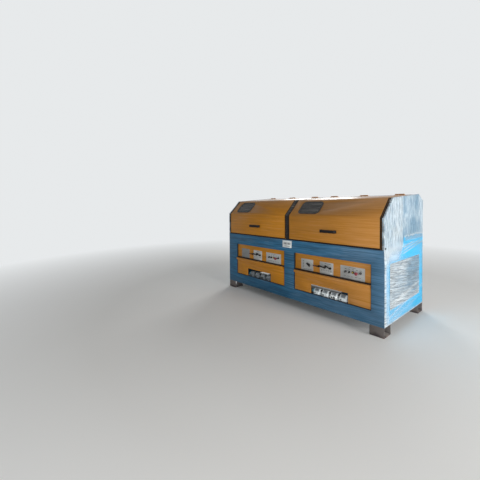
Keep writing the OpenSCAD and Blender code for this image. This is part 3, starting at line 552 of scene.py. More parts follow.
def wrapped_film_group():
    """Streaks of a clear film pulled tight round the cabinet: tone, lines for painted glints, haze and
    height.
    """
    n, given, results = new_group("wrapped_film", {"Grain": (0.7, 22, 22), "Fan": 0.05},
                                  ("Tone", "Lines", "Haze", "Height"))
    place = n.place()
    bent = n.wander(place, given["Fan"], 1.1, 2.0, 0.5)
    grain = n.vector("MULTIPLY", bent, given["Grain"])
    fine = n.noise(grain, 2.3, 3.0, 0.6)
    both = n.plus(n.times(n.noise(grain, 1.0, 4.0, 0.6), 0.55), n.times(fine, 0.45))
    patches = n.stretch(n.noise(place, 1.9, 2.0), 0.38, 0.62, 0.15, 1.0)
    return n.give(results, Tone=n.stretch(both, 0.36, 0.64),
                  Lines=n.times(n.stretch(fine, 0.55, 0.68), patches),
                  Haze=n.stretch(n.noise(bent, 1.7, 3.0, 0.55), 0.45, 0.75), Height=both)


def settled_dust_group():
    """Dust on what faces up, and a mask that is one low down near the floor: the primer takes it for floor
    splashes, the enamel for painted shade.
    """
    n, given, results = new_group("settled_dust", {"Amount": 0.3, "Splash height": 0.3}, ("Dust", "Splash"))
    place = n.place()
    specks = n.noise(place, 9.0, 6.0, 0.65)
    dust = n.times(n.stretch(n.facing_up(), 0.55, 0.98), n.stretch(specks, 0.35, 0.7, 0.35, 1.0))
    ragged = n.plus(n.parts(place)["Z"], n.times(specks, 0.12))
    return n.give(results, Dust=n.times(dust, given["Amount"]),
                  Splash=n.stretch(ragged, 0.1, given["Splash height"], 1.0, 0.0))


def casting_grain_group():
    """Sand-cast skin under paint: height and a slow change of tone."""
    n, given, results = new_group("casting_grain", {"Size": 90.0}, ("Tone", "Height"))
    place = n.place()
    return n.give(results, Tone=n.stretch(n.noise(place, 6.0, 3.0), 0.3, 0.7),
                  Height=n.noise(place, given["Size"], 4.0, 0.7))


def brushing_group():
    """Fine lines of a brushed or turned metal face: tone and height."""
    n, given, results = new_group("brushing", {"Grain": (6, 400, 400)}, ("Tone", "Height"))
    place = n.place()
    fine = n.noise(n.vector("MULTIPLY", place, given["Grain"]), 1.0, 3.0, 0.6)
    mixed = n.plus(n.times(fine, 0.5), n.times(n.noise(place, 5.0, 4.0, 0.6), 0.5))
    return n.give(results, Tone=n.stretch(mixed, 0.38, 0.62), Height=fine)


def film_crease_group():
    """Creases of loose film: mask of the milky ridges, and their height."""
    n, given, results = new_group("film_crease", {"Grain": (2, 26, 2.2), "Fan": 0.25, "Slant": 0.0},
                                  ("Ridge", "Height"))
    parts = n.parts(n.wander(n.place(), given["Fan"], 2.6, 3.0, 0.55))
    raised = n.plus(parts["Z"], n.times(parts["Y"], given["Slant"]))
    sheared = n.add("CombineXYZ", {0: parts["X"], 1: parts["Y"], 2: raised}).outputs[0]
    folds = n.noise(n.vector("MULTIPLY", sheared, given["Grain"]), 1.0, 5.0, 0.62, distortion=0.12)
    ridge = n.stretch(n.maths("ABSOLUTE", n.maths("SUBTRACT", folds, 0.5)), 0.0, 0.11, 1.0, 0.0)
    return n.give(results, Ridge=ridge, Height=n.plus(folds, n.times(ridge, 0.3)))


# Finishes

def toned(colour, factor, more=0.0):
    """A colour times a factor, with a little grey added."""
    return tuple(min(1, c * factor + more) for c in colour)


def enamel(name, colour, grain=(1.3, 40, 40), contrast=0.5, haze=0.18, dust=0.25, film=True,
           recess=True, ramp=0.0, splash=0.8, glint=0.2, fan=0.05, slope=0.0, rough=0.32):
    """Gloss enamel, with or without the clear film over it, and with painted light where asked: glints, a
    paler right end, and shade on slopes, near the floor and in the seams.
    """
    n = Finish(name, Coat_Roughness=0.2, Coat_IOR=1.4, Specular_IOR_Level=0.2)
    settled = n.use("dust", Amount=dust, Splash_height=0.42)
    wrap = n.use("wrap", Grain=grain, Fan=fan)
    base = n.mix(wrap["Tone"], toned(colour, 1 - 0.45 * contrast), toned(colour, 1 + 0.3 * contrast))
    # Painted glints: pale lines along the film's streaks.
    base = n.mix(n.times(wrap["Lines"], glint), base, toned(colour, 0.7, 0.16))
    haze_and_light = n.times(wrap["Haze"], haze)
    # Painted light: the film's haze grows paler towards the right end, where the light falls.
    if ramp:
        near = n.stretch(n.parts(n.place())["X"], 0.0, END_X, 0.0, ramp)
        haze_and_light = n.plus(haze_and_light, n.times(near, n.stretch(wrap["Tone"], 0.0, 1.0, 0.45, 1.35)))
    base = n.mix(haze_and_light, base, toned(colour, 0.7, 0.13))
    level = n.facing_up()
    # Painted shade: sloping faces are made darker.
    if slope:
        slope_shade = n.times(n.stretch(level, 0.3, 0.6), n.stretch(level, 0.8, 0.95, slope, 0.0))
        base = n.mix(slope_shade, base, toned(colour, 0.25))
    base = n.mix(settled["Dust"], base, SETTINGS["dust"])
    # Painted shade: the enamel grows darker towards the floor.
    base = n.mix(n.times(settled["Splash"], splash), base, toned(colour, 0.4))
    # Painted shade: the seams round the panels of the long faces are made much darker.
    if recess:
        base = n.mix(recess_shade_mask(n), base, toned(colour, 0.12))
    gloss = n.stretch(level, 0.9, 0.98, 0.06, 0.9) if film else 0.04
    n.set(Base_Color=base,
          Roughness=n.plus(n.times(wrap["Tone"], 0.14), n.plus(n.times(settled["Dust"], 0.5), rough)),
          Coat_Weight=n.maths("SUBTRACT", gloss, n.times(settled["Dust"], 0.6), clamp=True))
    return n.bump(wrap["Height"], 0.004 if film else 0.001)


def recess_shade_mask(n):
    """Mask of painted shade: one in the seams round the panels of the long faces, nought elsewhere."""
    shallow, deep = 0.0015, 0.0035
    place = n.parts(n.place())
    inside = n.stretch(place["Y"], FRONT_Y + shallow, FRONT_Y + deep)
    from_back = n.stretch(place["Y"], REAR_Y - deep, REAR_Y - shallow, 1.0, 0.0)
    low = n.stretch(place["Z"], DECK_Z - 0.02, DECK_Z, 1.0, 0.0)
    off_end = n.stretch(n.maths("ABSOLUTE", place["X"]), END_X - 0.02, END_X - 0.012, 1.0, 0.0)
    return n.times(n.times(inside, from_back), n.times(low, off_end))


def trim_paint(name, colour):
    """Satin black strip with pale lines of painted highlight where the film crosses it, more of them higher
    up.
    """
    n = Finish(name, Specular_IOR_Level=0.25)
    wrap = n.use("wrap", Grain=(1.2, 13, 17), Fan=0.02)
    # Painted highlights: the pale lines grow up the strip.
    painted_light_ramp = n.stretch(n.parts(n.place())["Z"], DECK_Z + 0.33, DECK_Z + 0.56, 0.05, 0.7)
    lines = n.times(n.stretch(wrap["Tone"], 0.5, 0.95), painted_light_ramp)
    n.set(Base_Color=n.mix(lines, colour, (0.42, 0.38, 0.33)),
          Roughness=n.stretch(wrap["Tone"], 0.0, 1.0, 0.3, 0.5))
    return n.bump(wrap["Height"], 0.004)


def primer_paint(name, colour):
    """Matt red-brown primer with rust bloom and floor dust."""
    n = Finish(name, Specular_IOR_Level=0.3)
    settled = n.use("dust", Amount=0.6, Splash_height=0.05)
    skin = n.use("casting", Size=60.0)
    rust = n.stretch(n.noise(n.place(), 14.0, 6.0, 0.7), 0.5, 0.66, 0.0, 0.75)
    base = n.mix(skin["Tone"], toned(colour, 0.75), toned(colour, 1.3))
    base = n.mix(rust, base, (0.09, 0.045, 0.035))
    base = n.mix(settled["Dust"], base, SETTINGS["dust"])
    base = n.mix(n.times(settled["Splash"], 0.22), base, SETTINGS["dust"])
    n.set(Base_Color=base, Roughness=n.stretch(rust, 0.0, 1.0, 0.55, 0.85))
    return n.bump(skin["Height"], 0.0012, 0.6)


def casting_paint(name, colour, size=90.0, rough=0.45):
    """Painted casting with a sandy skin."""
    n = Finish(name, Coat_Weight=0.15, Coat_Roughness=0.25)
    skin = n.use("casting", Size=size)
    base = n.mix(skin["Tone"], toned(colour, 0.82), toned(colour, 1.2))
    n.set(Base_Color=n.dusted(base, 0.35),
          Roughness=n.stretch(skin["Tone"], 0.0, 1.0, rough - 0.06, rough + 0.08))
    return n.bump(skin["Height"], 0.0006)


def bare_metal(name, colour, grain, rough=0.3, oil=0.0, metallic=1.0):
    """Bare steel or aluminium with its machining lines and oil."""
    n = Finish(name, Metallic=metallic)
    lines = n.use("brushing", Grain=grain)
    base = n.mix(lines["Tone"], toned(colour, 0.8), toned(colour, 1.12))
    if oil:
        wet = n.stretch(n.noise(n.place(), 4.0, 5.0, 0.6), 0.52, 0.62, 0.0, oil)
        base = n.mix(wet, base, toned(colour, 0.35))
    n.set(Base_Color=n.dusted(base, 0.12),
          Roughness=n.stretch(lines["Tone"], 0.0, 1.0, rough - 0.07, rough + 0.1))
    return n.bump(lines["Height"], 0.0002, 0.4)


def moulded(name, colour, rough=0.32, size=260.0, depth=0.0002, gloss=0.5):
    """Moulded plastic or rubber with a fine grain and a little dust."""
    n = Finish(name, Specular_IOR_Level=gloss)
    skin = n.use("casting", Size=size)
    base = n.mix(skin["Tone"], toned(colour, 0.85), toned(colour, 1.15, 0.002))
    n.set(Base_Color=n.dusted(base, 0.2),
          Roughness=n.stretch(skin["Tone"], 0.0, 1.0, rough - 0.05, rough + 0.08))
    return n.bump(skin["Height"], depth)


def smoked_pane(name):
    """Smoked window sheet under streaky film, with painted light in pale streaks that grow towards the right
    end.
    """
    n = Finish(name, Transmission_Weight=0.3, IOR=1.3)
    wrap = n.use("wrap", Grain=(1.4, 34, 34), Fan=0.08)
    # Painted light: pale streaks, stronger towards the right end.
    painted_light_ramp = n.stretch(n.parts(n.place())["X"], -0.8, 0.5, 0.35, 0.75)
    pale = n.times(n.stretch(wrap["Tone"], 0.4, 1.0), painted_light_ramp)
    n.set(Base_Color=n.mix(pale, (0.035, 0.032, 0.03), (0.25, 0.24, 0.23)),
          Roughness=n.stretch(wrap["Tone"], 0.0, 1.0, 0.12, 0.35))
    return n.bump(wrap["Height"], 0.003)


def loose_film(name, colour, grain, clear, fan, slant, line, fold_shade_share, line_grain):
    """Milky stretch film, clear between its creases, with painted shade along its fold lines.

    The piece's veil attribute says how much shows, its shade attribute how blue and how dark it is, painted
    shade included."""
    n = Finish(name, Specular_IOR_Level=0.4, Coat_Weight=0.12, Coat_Roughness=0.2, Roughness=0.42)
    broad_grain = tuple(0.42 * g for g in grain)
    crease, broad, folds = (n.use("crease", Grain=g, Fan=fan, Slant=slant)
                            for g in (grain, broad_grain, line_grain))
    shade, veil = (n.add("Attribute", attribute_name=key).outputs["Fac"] for key in ("shade", "veil"))
    tone = n.plus(n.times(crease["Ridge"], 0.6), n.times(broad["Ridge"], 0.4))
    tone = n.maths("ADD", tone, n.stretch(veil, 0.5, 0.9, 0.8, 0.0), clamp=True)
    deep = n.mix(shade, toned(colour, 0.6), (0.07, 0.18, 0.28))
    bluish = tuple(c * share for c, share in zip(colour, (0.48, 0.62, 0.72)))
    bright = n.mix(shade, toned(colour, 1.4), bluish)
    # Painted shade: dark lines along the film's folds.
    fold_shade = n.times(n.stretch(folds["Ridge"], 0.62, 0.95), n.stretch(veil, 0.45, 0.8, 0.0, fold_shade_share))
    full = n.times(veil, n.stretch(crease["Ridge"], 0.0, 0.8, clear, 1.0))
    rest = n.times(n.maths("SUBTRACT", 1.0, veil), n.stretch(crease["Ridge"], 0.0, 1.0, 0.8, 1.1))
    n.set(Base_Color=n.mix(fold_shade, n.mix(tone, deep, bright), line),
          Alpha=n.maths("MULTIPLY", veil, n.plus(full, rest), clamp=True))
    return n.bump(crease["Height"], 0.004)


def printed(name, colour):
    """Plain ink or enamel fill, with a slight unevenness."""
    n = Finish(name, Roughness=0.45)
    wear = n.stretch(n.noise(n.place(), 160.0, 3.0), 0.35, 0.7)
    n.set(Base_Color=n.mix(wear, toned(colour, 0.85), toned(colour, 1.15, 0.01)))
    return n.material


def keep(build, name, *values, **more):
    """Build a finish and keep it under its name."""
    MATERIALS[name] = build(name, *values, **more)


def make_materials(colours):
    """Build every finish once."""
    SETTINGS["dust"] = tuple(colours.dust)
    GROUPS.update(wrap=wrapped_film_group(), dust=settled_dust_group(), casting=casting_grain_group(),
                  brushing=brushing_group(), crease=film_crease_group())
    blue, orange, film = tuple(colours.blue), tuple(colours.orange), tuple(colours.film)
    keep(enamel, "blue_long", blue, contrast=1.2, haze=0.2, ramp=0.36, glint=0.5, splash=0.45)
    # The ends get the lit copy of the frame blue: painted light.
    keep(enamel, "blue_end", tuple(colours.blue_end), (22, 0.7, 22), 0.35, 0.12, recess=False, splash=0.15)
    keep(enamel, "blue_inside", blue, contrast=0.2, haze=0.0, dust=0.5, film=False, recess=False, rough=0.48)
    keep(enamel, "orange_long", orange, contrast=0.42, haze=0.1, dust=0.15, glint=0.4, recess=False,
         ramp=0.36, fan=0.02, slope=0.28)
    keep(enamel, "orange_inside", orange, contrast=0.2, haze=0.0, dust=0.1, film=False, recess=False,
         rough=0.62)
    keep(trim_paint, "trim", tuple(colours.trim))
    keep(primer_paint, "primer", tuple(colours.primer))
    keep(casting_paint, "casting", tuple(colours.casting))
    keep(casting_paint, "motor", tuple(colours.motor), 140.0, 0.4)
    keep(bare_metal, "deck", (0.36, 0.37, 0.38), (9, 220, 220), 0.38, oil=0.7)
    keep(bare_metal, "drum", (0.56, 0.57, 0.58), (60, 60, 600), 0.26)
    keep(bare_metal, "zinc", (0.55, 0.56, 0.57), (90, 90, 90), 0.34)
    keep(bare_metal, "plate", tuple(colours.plate), (12, 500, 500), 0.42, metallic=0.3)
    keep(bare_metal, "plate_dull", toned(colours.plate, 0.5), (12, 500, 500), 0.5, metallic=0.3)
    # The darker copy of the valve white is painted shade for the left bay's valves.
    for name, tone, rough in (("yellow", (0.36, 0.25, 0.04), 0.34), ("red", (0.24, 0.03, 0.045), 0.5),
                              ("white", (0.82, 0.88, 0.9), 0.4), ("white_grimy", (0.13, 0.15, 0.165), 0.55),
                              ("valve_label", (0.25, 0.28, 0.3), 0.5), ("tag", (0.72, 0.75, 0.75), 0.5),
                              ("union", (0.12, 0.42, 0.56), 0.45), ("grip_brown", (0.11, 0.035, 0.02), 0.5)):
        keep(moulded, name, tone, rough)
    keep(moulded, "black", (0.005, 0.005, 0.006), 0.55, gloss=0.25)
    keep(moulded, "handle", (0.008, 0.006, 0.006), 0.6, gloss=0.2)
    keep(moulded, "rubber", (0.014, 0.014, 0.014), 0.62, 120.0, 0.0004)
    # Dark brown of the hood edging and of the painted shade strips round the covers.
    keep(moulded, "seal", (0.016, 0.008, 0.004), 0.7, 120.0, 0.0004, 0.2)
    keep(moulded, "belt", (0.02, 0.02, 0.021), 0.7, 320.0, 0.0005)
    keep(smoked_pane, "pane")
    keep(loose_film, "film_upper", film, (2, 62, 5.0), 0.62, 0.05, 0.0, (0.13, 0.27, 0.36), 0.5,
         (3, 60, 4.4))
    keep(loose_film, "film_lower", film, (2, 2.0, 60), 0.85, 0.016, 0.11, (0.1, 0.11, 0.115), 0.75,
         (3, 2.4, 36))
    keep(printed, "ink", (0.03, 0.03, 0.032))
    keep(printed, "pale_ink", (0.7, 0.7, 0.68))


NODE_FINISH = {
    "blue_long": ["front_face_plate", "rear_face_plate", "rear_cowl"],
    "blue_end": ["end_face_plates", "end_wall_left", "end_wall_right"],
    "blue_inside": ["frame_posts", "base_beams", "cross_beams", "mid_bulkhead", "hinge_beam"],
    "orange_long": ["control_panel_left", "control_panel_right", "access_cover_left", "access_cover_right",
                    "rear_panels", "hood_shell_left", "hood_shell_right", "hinge_blocks", "hood_hinges_left",
                    "hood_hinges_right"],
    "trim": ["middle_arch", "hood_seals"],
    "primer": ["skid_feet"],
    "deck": ["deck_plate"],
    "drum": ["drum_left", "drum_right"],
    "casting": ["die_boxes", "tension_arms", "gearboxes"],
    "motor": ["motors"],
    "plate": ["instrument_plates"],
    "black": ["control_switches", "air_valves"],
    "handle": ["hood_handle_left", "hood_handle_right"],
    "yellow": ["start_buttons"],
    "red": ["stop_buttons"],
    "white": ["water_valves"],
    "tag": ["number_tag"],
    "rubber": ["window_gasket_left", "window_gasket_right"],
    "belt": ["drive_belts"],
    "pane": ["window_pane_left", "window_pane_right"],
    "film_lower": ["end_films"],
}


class CABINET_OT_finishes(bpy.types.Operator):
    """Build the finishes and paint every node of the frame"""
    bl_idname = "cabinet.finishes"
    bl_label = "Finishes"

    def execute(self, context):
        make_materials(context.scene.cabinet_colours)
        painted = set()
        for finish, names in NODE_FINISH.items():
            for name in names:
                mesh = NODES[name].data
                mesh.materials.clear()
                mesh.materials.append(MATERIALS[finish])
                painted.add(name)
        missing = sorted(set(NODES) - painted)
        if missing:
            raise RuntimeError("no finish for %s" % missing)
        return {"FINISHED"}

VALVES_A_BAY = 4


def on_slope(side):
    """Frame of a window: +X along the cabinet, +Y up the slope, +Z out of it."""
    middle_x = mid(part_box("window_gasket_" + side)).x
    place = (middle_x, FRONT_Y + SLOPE_RUN / 2, SLOPE_LOW_Z + SLOPE_RISE / 2)
    return Matrix.Translation(place) @ Matrix.Rotation(math.atan2(SLOPE_RISE, SLOPE_RUN), 4, "X")


def on_front(x, y, z, turn=0.0, size=(1, 1, 1)):
    """Frame on a front plate: +X along the cabinet, +Y up, +Z towards the user."""
    return (Matrix.Translation((x, y, z)) @ Matrix.Rotation(math.radians(90), 4, "X")
            @ Matrix.Rotation(-math.radians(turn), 4, "Z") @ Matrix.Diagonal((*size, 1)))


def by_side(boxes):
    """Split boxes by the bay that they are in."""
    return {"left": [b for b in boxes if b[0].x < 0], "right": [b for b in boxes if b[0].x >= 0]}


def mid(box):
    """Middle of a box."""
    return (box[0] + box[1]) / 2


def inner_corners(box, across, low, high):
    """The four points (x, z) inside the corners of a plate."""
    lo, hi = box
    return [(x, z) for x in (lo.x + across, hi.x - across) for z in (lo.z + low, hi.z - high)]


# Widths of the rounded edges, by node
EDGE_WIDTHS = {
    0.0008: ["front_face_plate", "rear_face_plate", "control_panel_left", "control_panel_right",
             "access_cover_left", "access_cover_right", "rear_panels", "hood_shell_left",
             "hood_shell_right", "rear_cowl", "instrument_plates"],
    0.0015: ["end_face_plates", "end_wall_left", "end_wall_right", "number_tag", "water_valves"],
    0.002: ["skid_feet", "middle_arch", "base_beams", "cross_beams"],
    0.005: ["hood_handle_left", "hood_handle_right"],
    0.003: ["die_boxes"],
}
HOOD_NODES = {"hood_shell", "hood_handle", "window_gasket", "window_pane", "hood_hinges"}


def body_of(name):
    """Body that a node rides on."""
    stem, _, side = name.rpartition("_")
    return side + "_hood" if stem in HOOD_NODES else "cabinet"


class CABINET_OT_soft_edges(bpy.types.Operator):
    """Round the sharp edges of the sheet metal, the feet, the handles and the castings"""
    bl_idname = "cabinet.soft_edges"
    bl_label = "Soft edges"

    def execute(self, context):
        for width, names in EDGE_WIDTHS.items():
            for name in names:
                self.soften(name, width)
        return {"FINISHED"}

    def second_finish(self, name):
        """Finish of the faces that differ from the rest of a node, and the test that finds them."""
        if name.startswith("end_"):
            return "blue_inside", lambda place: abs(place.x) < END_X - 0.003
        if name.startswith("hood_shell"):
            skin = 0.0015
            return "orange_inside", lambda place: (
                min(place.y - FRONT_Y, wall_top(place.y)[0] - place.z) > skin)
        if name == "water_valves":
            # Painted shade: the left bay's valves take the darker copy of the white.
            return "white_grimy", lambda place: place.x < 0
        if name == "instrument_plates":
            edge = solids(name)[0][1].x
            return "plate_dull", lambda place: place.x < edge
        return None, None

    def soften(self, name, width):
        """Copy a node, merge it into clean faces and bevel its sharp edges."""
        piece = NODES[name].copy()
        piece.data = NODES[name].data.copy()
        bpy.context.collection.objects.link(piece)
        piece.parent = None
        piece.matrix_world = Matrix.Identity(4)
        select(piece)
        edit()
        pick_all()
        bpy.ops.mesh.remove_doubles(threshold=1e-6)
        bpy.ops.mesh.dissolve_limited(angle_limit=math.radians(1))
        leave()
        rounding = piece.modifiers.new("rounding", "BEVEL")
        rounding.width = width
        rounding.segments = 2
        rounding.limit_method = "ANGLE"
        rounding.angle_limit = math.radians(50)
        rounding.use_clamp_overlap = False
        bpy.ops.object.modifier_apply(modifier="rounding")
        other, test = self.second_finish(name)
        if other:
            piece.data.materials.append(MATERIALS[other])
            for face in piece.data.polygons:
                face.material_index = 1 if test(face.center) else 0
        piece.name = name + "_soft"
        piece.data.name = piece.name
        smooth(piece, 40)
        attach(piece, body_of(name))
        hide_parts(name)


def inset_line(line, depth):
    """Move a line in the YZ plane, given as (y, z) points, inwards by a depth."""
    points = [Vector(p) for p in line]
    outs = []
    for a, b in zip(points, points[1:]):
        along = (b - a).normalized()
        outs.append(Vector((-along.y, along.x)))
    moved = []
    for i, point in enumerate(points):
        a, b = outs[max(i - 1, 0)], outs[min(i, len(outs) - 1)]
        moved.append(point - (a + b) * depth / (1 + a.dot(b)))
    return moved


class BentStrip:
    """Shapes a flat bar bent along the line of the hoods."""

    def line(self, z_start, y_end):
        """Side line of a hood from its lower edge to a point of the roof."""
        return [(FRONT_Y, z_start), (FRONT_Y, SLOPE_LOW_Z),
                (SLOPE_END_Y, SLOPE_LOW_Z + SLOPE_RISE), (y_end, wall_top(y_end)[0])]

    def strip(self, line, x0, x1, high, low, bevel):
        """A flat bar bent along a line, between two depths under it."""
        outer, root = inset_line(line, high), inset_line(line, low)
        begin()
        bpy.ops.mesh.primitive_plane_add(size=1)
        edit()
        self.place(x0, x1, outer[0], root[0], (0, -1, 0))
        for i in range(1, len(line)):
            extrude(0, 0, 0)
            self.place(x0, x1, outer[i], root[i], (0, -0.72, 0.69))
        face_outwards()
        pick("EDGE", lambda e: (abs(e.verts[0].co.x - e.verts[1].co.x) < 1e-6
                                and self.is_outer(middle(e), outer)))
        bevel_edges(bevel)
        return close()

    def place(self, x0, x1, outer, root, out):
        """Set the four selected corners to the bar's section, its outer side towards out."""
        piece = bpy.context.object
        mesh = bmesh.from_edit_mesh(piece.data)
        chosen = [v for v in mesh.verts if v.select]
        centre = sum((v.co for v in chosen), Vector()) / len(chosen)
        flags = [(v.co.x > centre.x, (v.co - centre).dot(Vector(out)) > 0) for v in chosen]
        for vertex, (high_x, is_outer) in zip(chosen, flags):
            y, z = outer if is_outer else root
            vertex.co = Vector((x1 if high_x else x0, y, z))
        bmesh.update_edit_mesh(piece.data)

    def is_outer(self, point, outer):
        """True where a point lies on the outer line of the bar."""
        for a, b in zip(outer, outer[1:]):
            along = (b - a).normalized()
            offset = Vector((point.y, point.z)) - a
            if abs(offset.cross(along)) < 1e-4 and -1e-4 < offset.dot(along) < (b - a).length + 1e-4:
                return True
        return False


class CABINET_OT_trim_strips(BentStrip, bpy.types.Operator):
    """Bring the black strips between and beside the hoods up to the hood surface"""
    bl_idname = "cabinet.trim_strips"
    bl_label = "Trim strips"

    def execute(self, context):
        line, inner = self.line(DECK_Z + 0.0015, 0.3), END_X - 0.035
        half_arch, seal_w, gap = 0.028, 0.0195, 0.0005
        places = ((-half_arch, half_arch), (inner + gap, inner + seal_w), (-inner - seal_w, -inner - gap))
        strips = [self.strip(line, x0, x1, 0.001, 0.0084, 0.0016) for x0, x1 in places]
        dress(join(strips), "trim_strips", "trim")
        return {"FINISHED"}


class CABINET_OT_hood_edging(BentStrip, bpy.types.Operator):
    """Push a dark edging over the lower and side edges of each hood"""
    bl_idname = "cabinet.hood_edging"
    bl_label = "Hood edging"

    def execute(self, context):
        proud, wrap, high, side_w, gap = 0.0008, 0.0045, 0.0115, 0.01, 0.0005
        for side in SIDES:
            lo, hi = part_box("hood_shell_" + side)
            block((lo.x + gap, FRONT_Y - proud, lo.z - proud),
                  (hi.x - gap, FRONT_Y + wrap, lo.z + high), 0.0012)
            edit()
            pick("FACE", lambda f: f.normal.y < -0.9 and f.calc_area() > 0.005)
            inset(0.0022)
            extrude(0, 0.0005, 0)
            low = leave()
            line = self.line(lo.z + high, 0.36)
            ends = [self.strip(line, x, x + side_w + proud, -proud, wrap, 0.0005)
                    for x in (lo.x - proud, hi.x - side_w)]
            dress(join([low] + ends), "hood_edging_" + side, "seal", side + "_hood")
        return {"FINISHED"}


class CABINET_OT_windows(bpy.types.Operator):
    """Press a locking bead into the gasket of each hood window"""
    bl_idname = "cabinet.windows"
    bl_label = "Window beads"

    def execute(self, context):
        for side in SIDES:
            bead = self.loop(0.33, 0.226, 0.052, context.scene.cabinet_sizes.bead_r)
            bead.matrix_world = on_slope(side) @ Matrix.Translation((0, 0, 0.0045))
            close()
            dress(bead, "window_bead_" + side, "rubber", side + "_hood")
        return {"FINISHED"}

    def loop(self, width, height, corner, radius):
        """A closed round bead along a rectangle with rounded corners."""
        begin()
        bpy.ops.mesh.primitive_plane_add(size=1)
        bpy.context.object.scale = (width, height, 1)
        bpy.ops.object.transform_apply(location=False, rotation=False, scale=True)
        edit()
        round_corners(corner, 7)
        bpy.ops.mesh.delete(type="ONLY_FACE")
        leave()
        bpy.ops.object.convert(target="CURVE")
        curve = bpy.context.object.data
        curve.bevel_depth = radius
        curve.bevel_resolution = 2
        bpy.ops.object.convert(target="MESH")
        return bpy.context.object


# Turns of a bay's selectors from upright, in degrees, and the width that only the isolator exceeds
SELECTOR_TURNS = (25, -20, 60)
SELECTOR_MOST = 0.04


class CABINET_OT_switch_plates(bpy.types.Operator):
    """Put screws, rings, pointer lines and plain marks on the instrument plates"""
    bl_idname = "cabinet.switch_plates"
    bl_label = "Switch plates"

    def execute(self, context):
        plates, switches, starts, stops = (by_side(solids(name)) for name in (
            "instrument_plates", "control_switches", "start_buttons", "stop_buttons"))
        self.face = plates["right"][0][0].y
        isolator = max(switches["right"], key=lambda b: b[1].x - b[0].x)
        rings, lines, collars, buttons = [], [], [], {}
        for side in SIDES:
            selectors = [b for b in switches[side] if b[1].x - b[0].x < SELECTOR_MOST]
            for box, turn in zip(selectors, SELECTOR_TURNS):
                rings.append(self.on_face(mid(box)))
                lines.append(on_front(mid(box).x, box[0].y, mid(box).z, turn))
            rings.append(self.on_face(mid(stops[side][0])))
            collars.append(self.on_face(mid(starts[side][0])))
            buttons[side] = [mid(box) for box in starts[side] + stops[side] + selectors]
        screws = [on_front(x, self.face, z, 30) for side in SIDES for plate in plates[side]
                  for x, z in inner_corners(plate, 0.009, 0.009, 0.009)]
        dress(repeat(screw_head(0.0032, 0.0016), screws), "plate_screws", "zinc")
        dress(repeat(disc(0.0176, 0.0022, 28, 0.0007), rings), "switch_rings", "zinc")
        dress(repeat(self.collar(), collars), "button_collars", "black")
        line = block((-0.0009, 0.001, -0.0002), (0.0009, 0.0135, 0.0005), 0.0002, 1)
        dress(repeat(line, lines), "pointer_lines", "pale_ink")
        self.bezel(mid(isolator))
        self.marks(plates, buttons, mid(isolator))
        return {"FINISHED"}

    def on_face(self, place):
        """Frame on the plates' face in front of a place."""
        return on_front(place.x, self.face, place.z)

    def bezel(self, place):
        """Grey front ring on the isolator's base."""
        half, deep = 0.0275, 0.0128
        begin()
        bpy.ops.mesh.primitive_plane_add(size=2 * half)
        edit()
        round_corners(0.0085, 5)
        pick_all()
        extrude(0, 0, deep)
        pick("EDGE", lambda e: (min(v.co.z for v in e.verts) > deep - 1e-5 and len(e.link_faces) == 2
                                and any(abs(f.normal.z) < 0.1 for f in e.link_faces)))
        bevel_edges(0.0012)
        face_outwards()
        piece = leave()
        piece.matrix_world = self.on_face(place)
        close()
        dress(piece, "isolator_bezel", "plate")

    def collar(self):
        """Black ring round a push button."""
        disc(0.0165, 0.0082, 28, 0.001)
        return hollow(0.008, 0.0045, 0.005)

    def bar(self, x, z, wide, high, turn=0):
        """Place and size of a printed bar."""
        return on_front(x, self.face, z, turn, (wide, high, 1))

    def tick(self, centre, turn, reach, wide, high):
        """Place and size of a scale tick at a turn and a reach from a centre."""
        lean = math.radians(turn)
        x, z = centre.x + reach * math.sin(lean), centre.z + reach * math.cos(lean)
        return self.bar(x, z, wide, high, turn)

    def marks(self, plates, buttons, isolator):
        """Plain bars and scale ticks, printed where a maker prints words."""
        dark, pale = [], []
        for side in SIDES:
            air, switch = plates[side][1:3]
            for place in buttons[side]:
                dark.append(self.bar(place.x, 0.722, 0.026, 0.0055))
                dark += [self.tick(place, turn, 0.0225, 0.0018, 0.005) for turn in (-35, 35)]
            dark += [self.bar(switch[0].x + 0.06 + i * 0.048, 0.632, 0.03, 0.004) for i in range(5)]
            dark.append(self.bar(mid(switch).x, 0.742, 0.09, 0.004))
            for i in range(5):
                x = air[0].x + 0.03 + i * 0.034
                dark += [self.bar(x, 0.65, 0.02, 0.0045), self.bar(x, 0.638, 0.012, 0.003)]
            dark.append(self.bar(mid(air).x + 0.02, 0.738, 0.09, 0.006))
            pale.append(self.bar(air[1].x - 0.03, 0.62, 0.03, 0.012))
        dark += self.isolator_marks(plates["right"][0][0].x, isolator)
        dress(repeat(patch(-0.0003, 0.0005), dark), "plate_marks", "ink", shade=0)
        dress(repeat(patch(-0.0003, 0.0005), pale), "plate_patches", "pale_ink", shade=0)

    def isolator_marks(self, left_x, isolator):
        """Scale round the isolator, a column of marks beside it and a row under it."""
        marks = []
        for turn in range(-90, 91, 30):
            lean = math.radians(turn)
            reach = 0.038 / max(abs(math.cos(lean)), abs(math.sin(lean)), 0.8)
            marks.append(self.tick(isolator, turn, reach, 0.002, 0.007))
        marks += [self.bar(left_x + 0.036, 0.726 - i * 0.022, 0.026, 0.007) for i in range(5)]
        marks += [self.bar(left_x + 0.05 + i * 0.036, 0.616, 0.024, 0.005) for i in range(4)]
        return marks


# Turns of a bay's air levers, in degrees
LEVER_TURNS = (182, 190, 205)


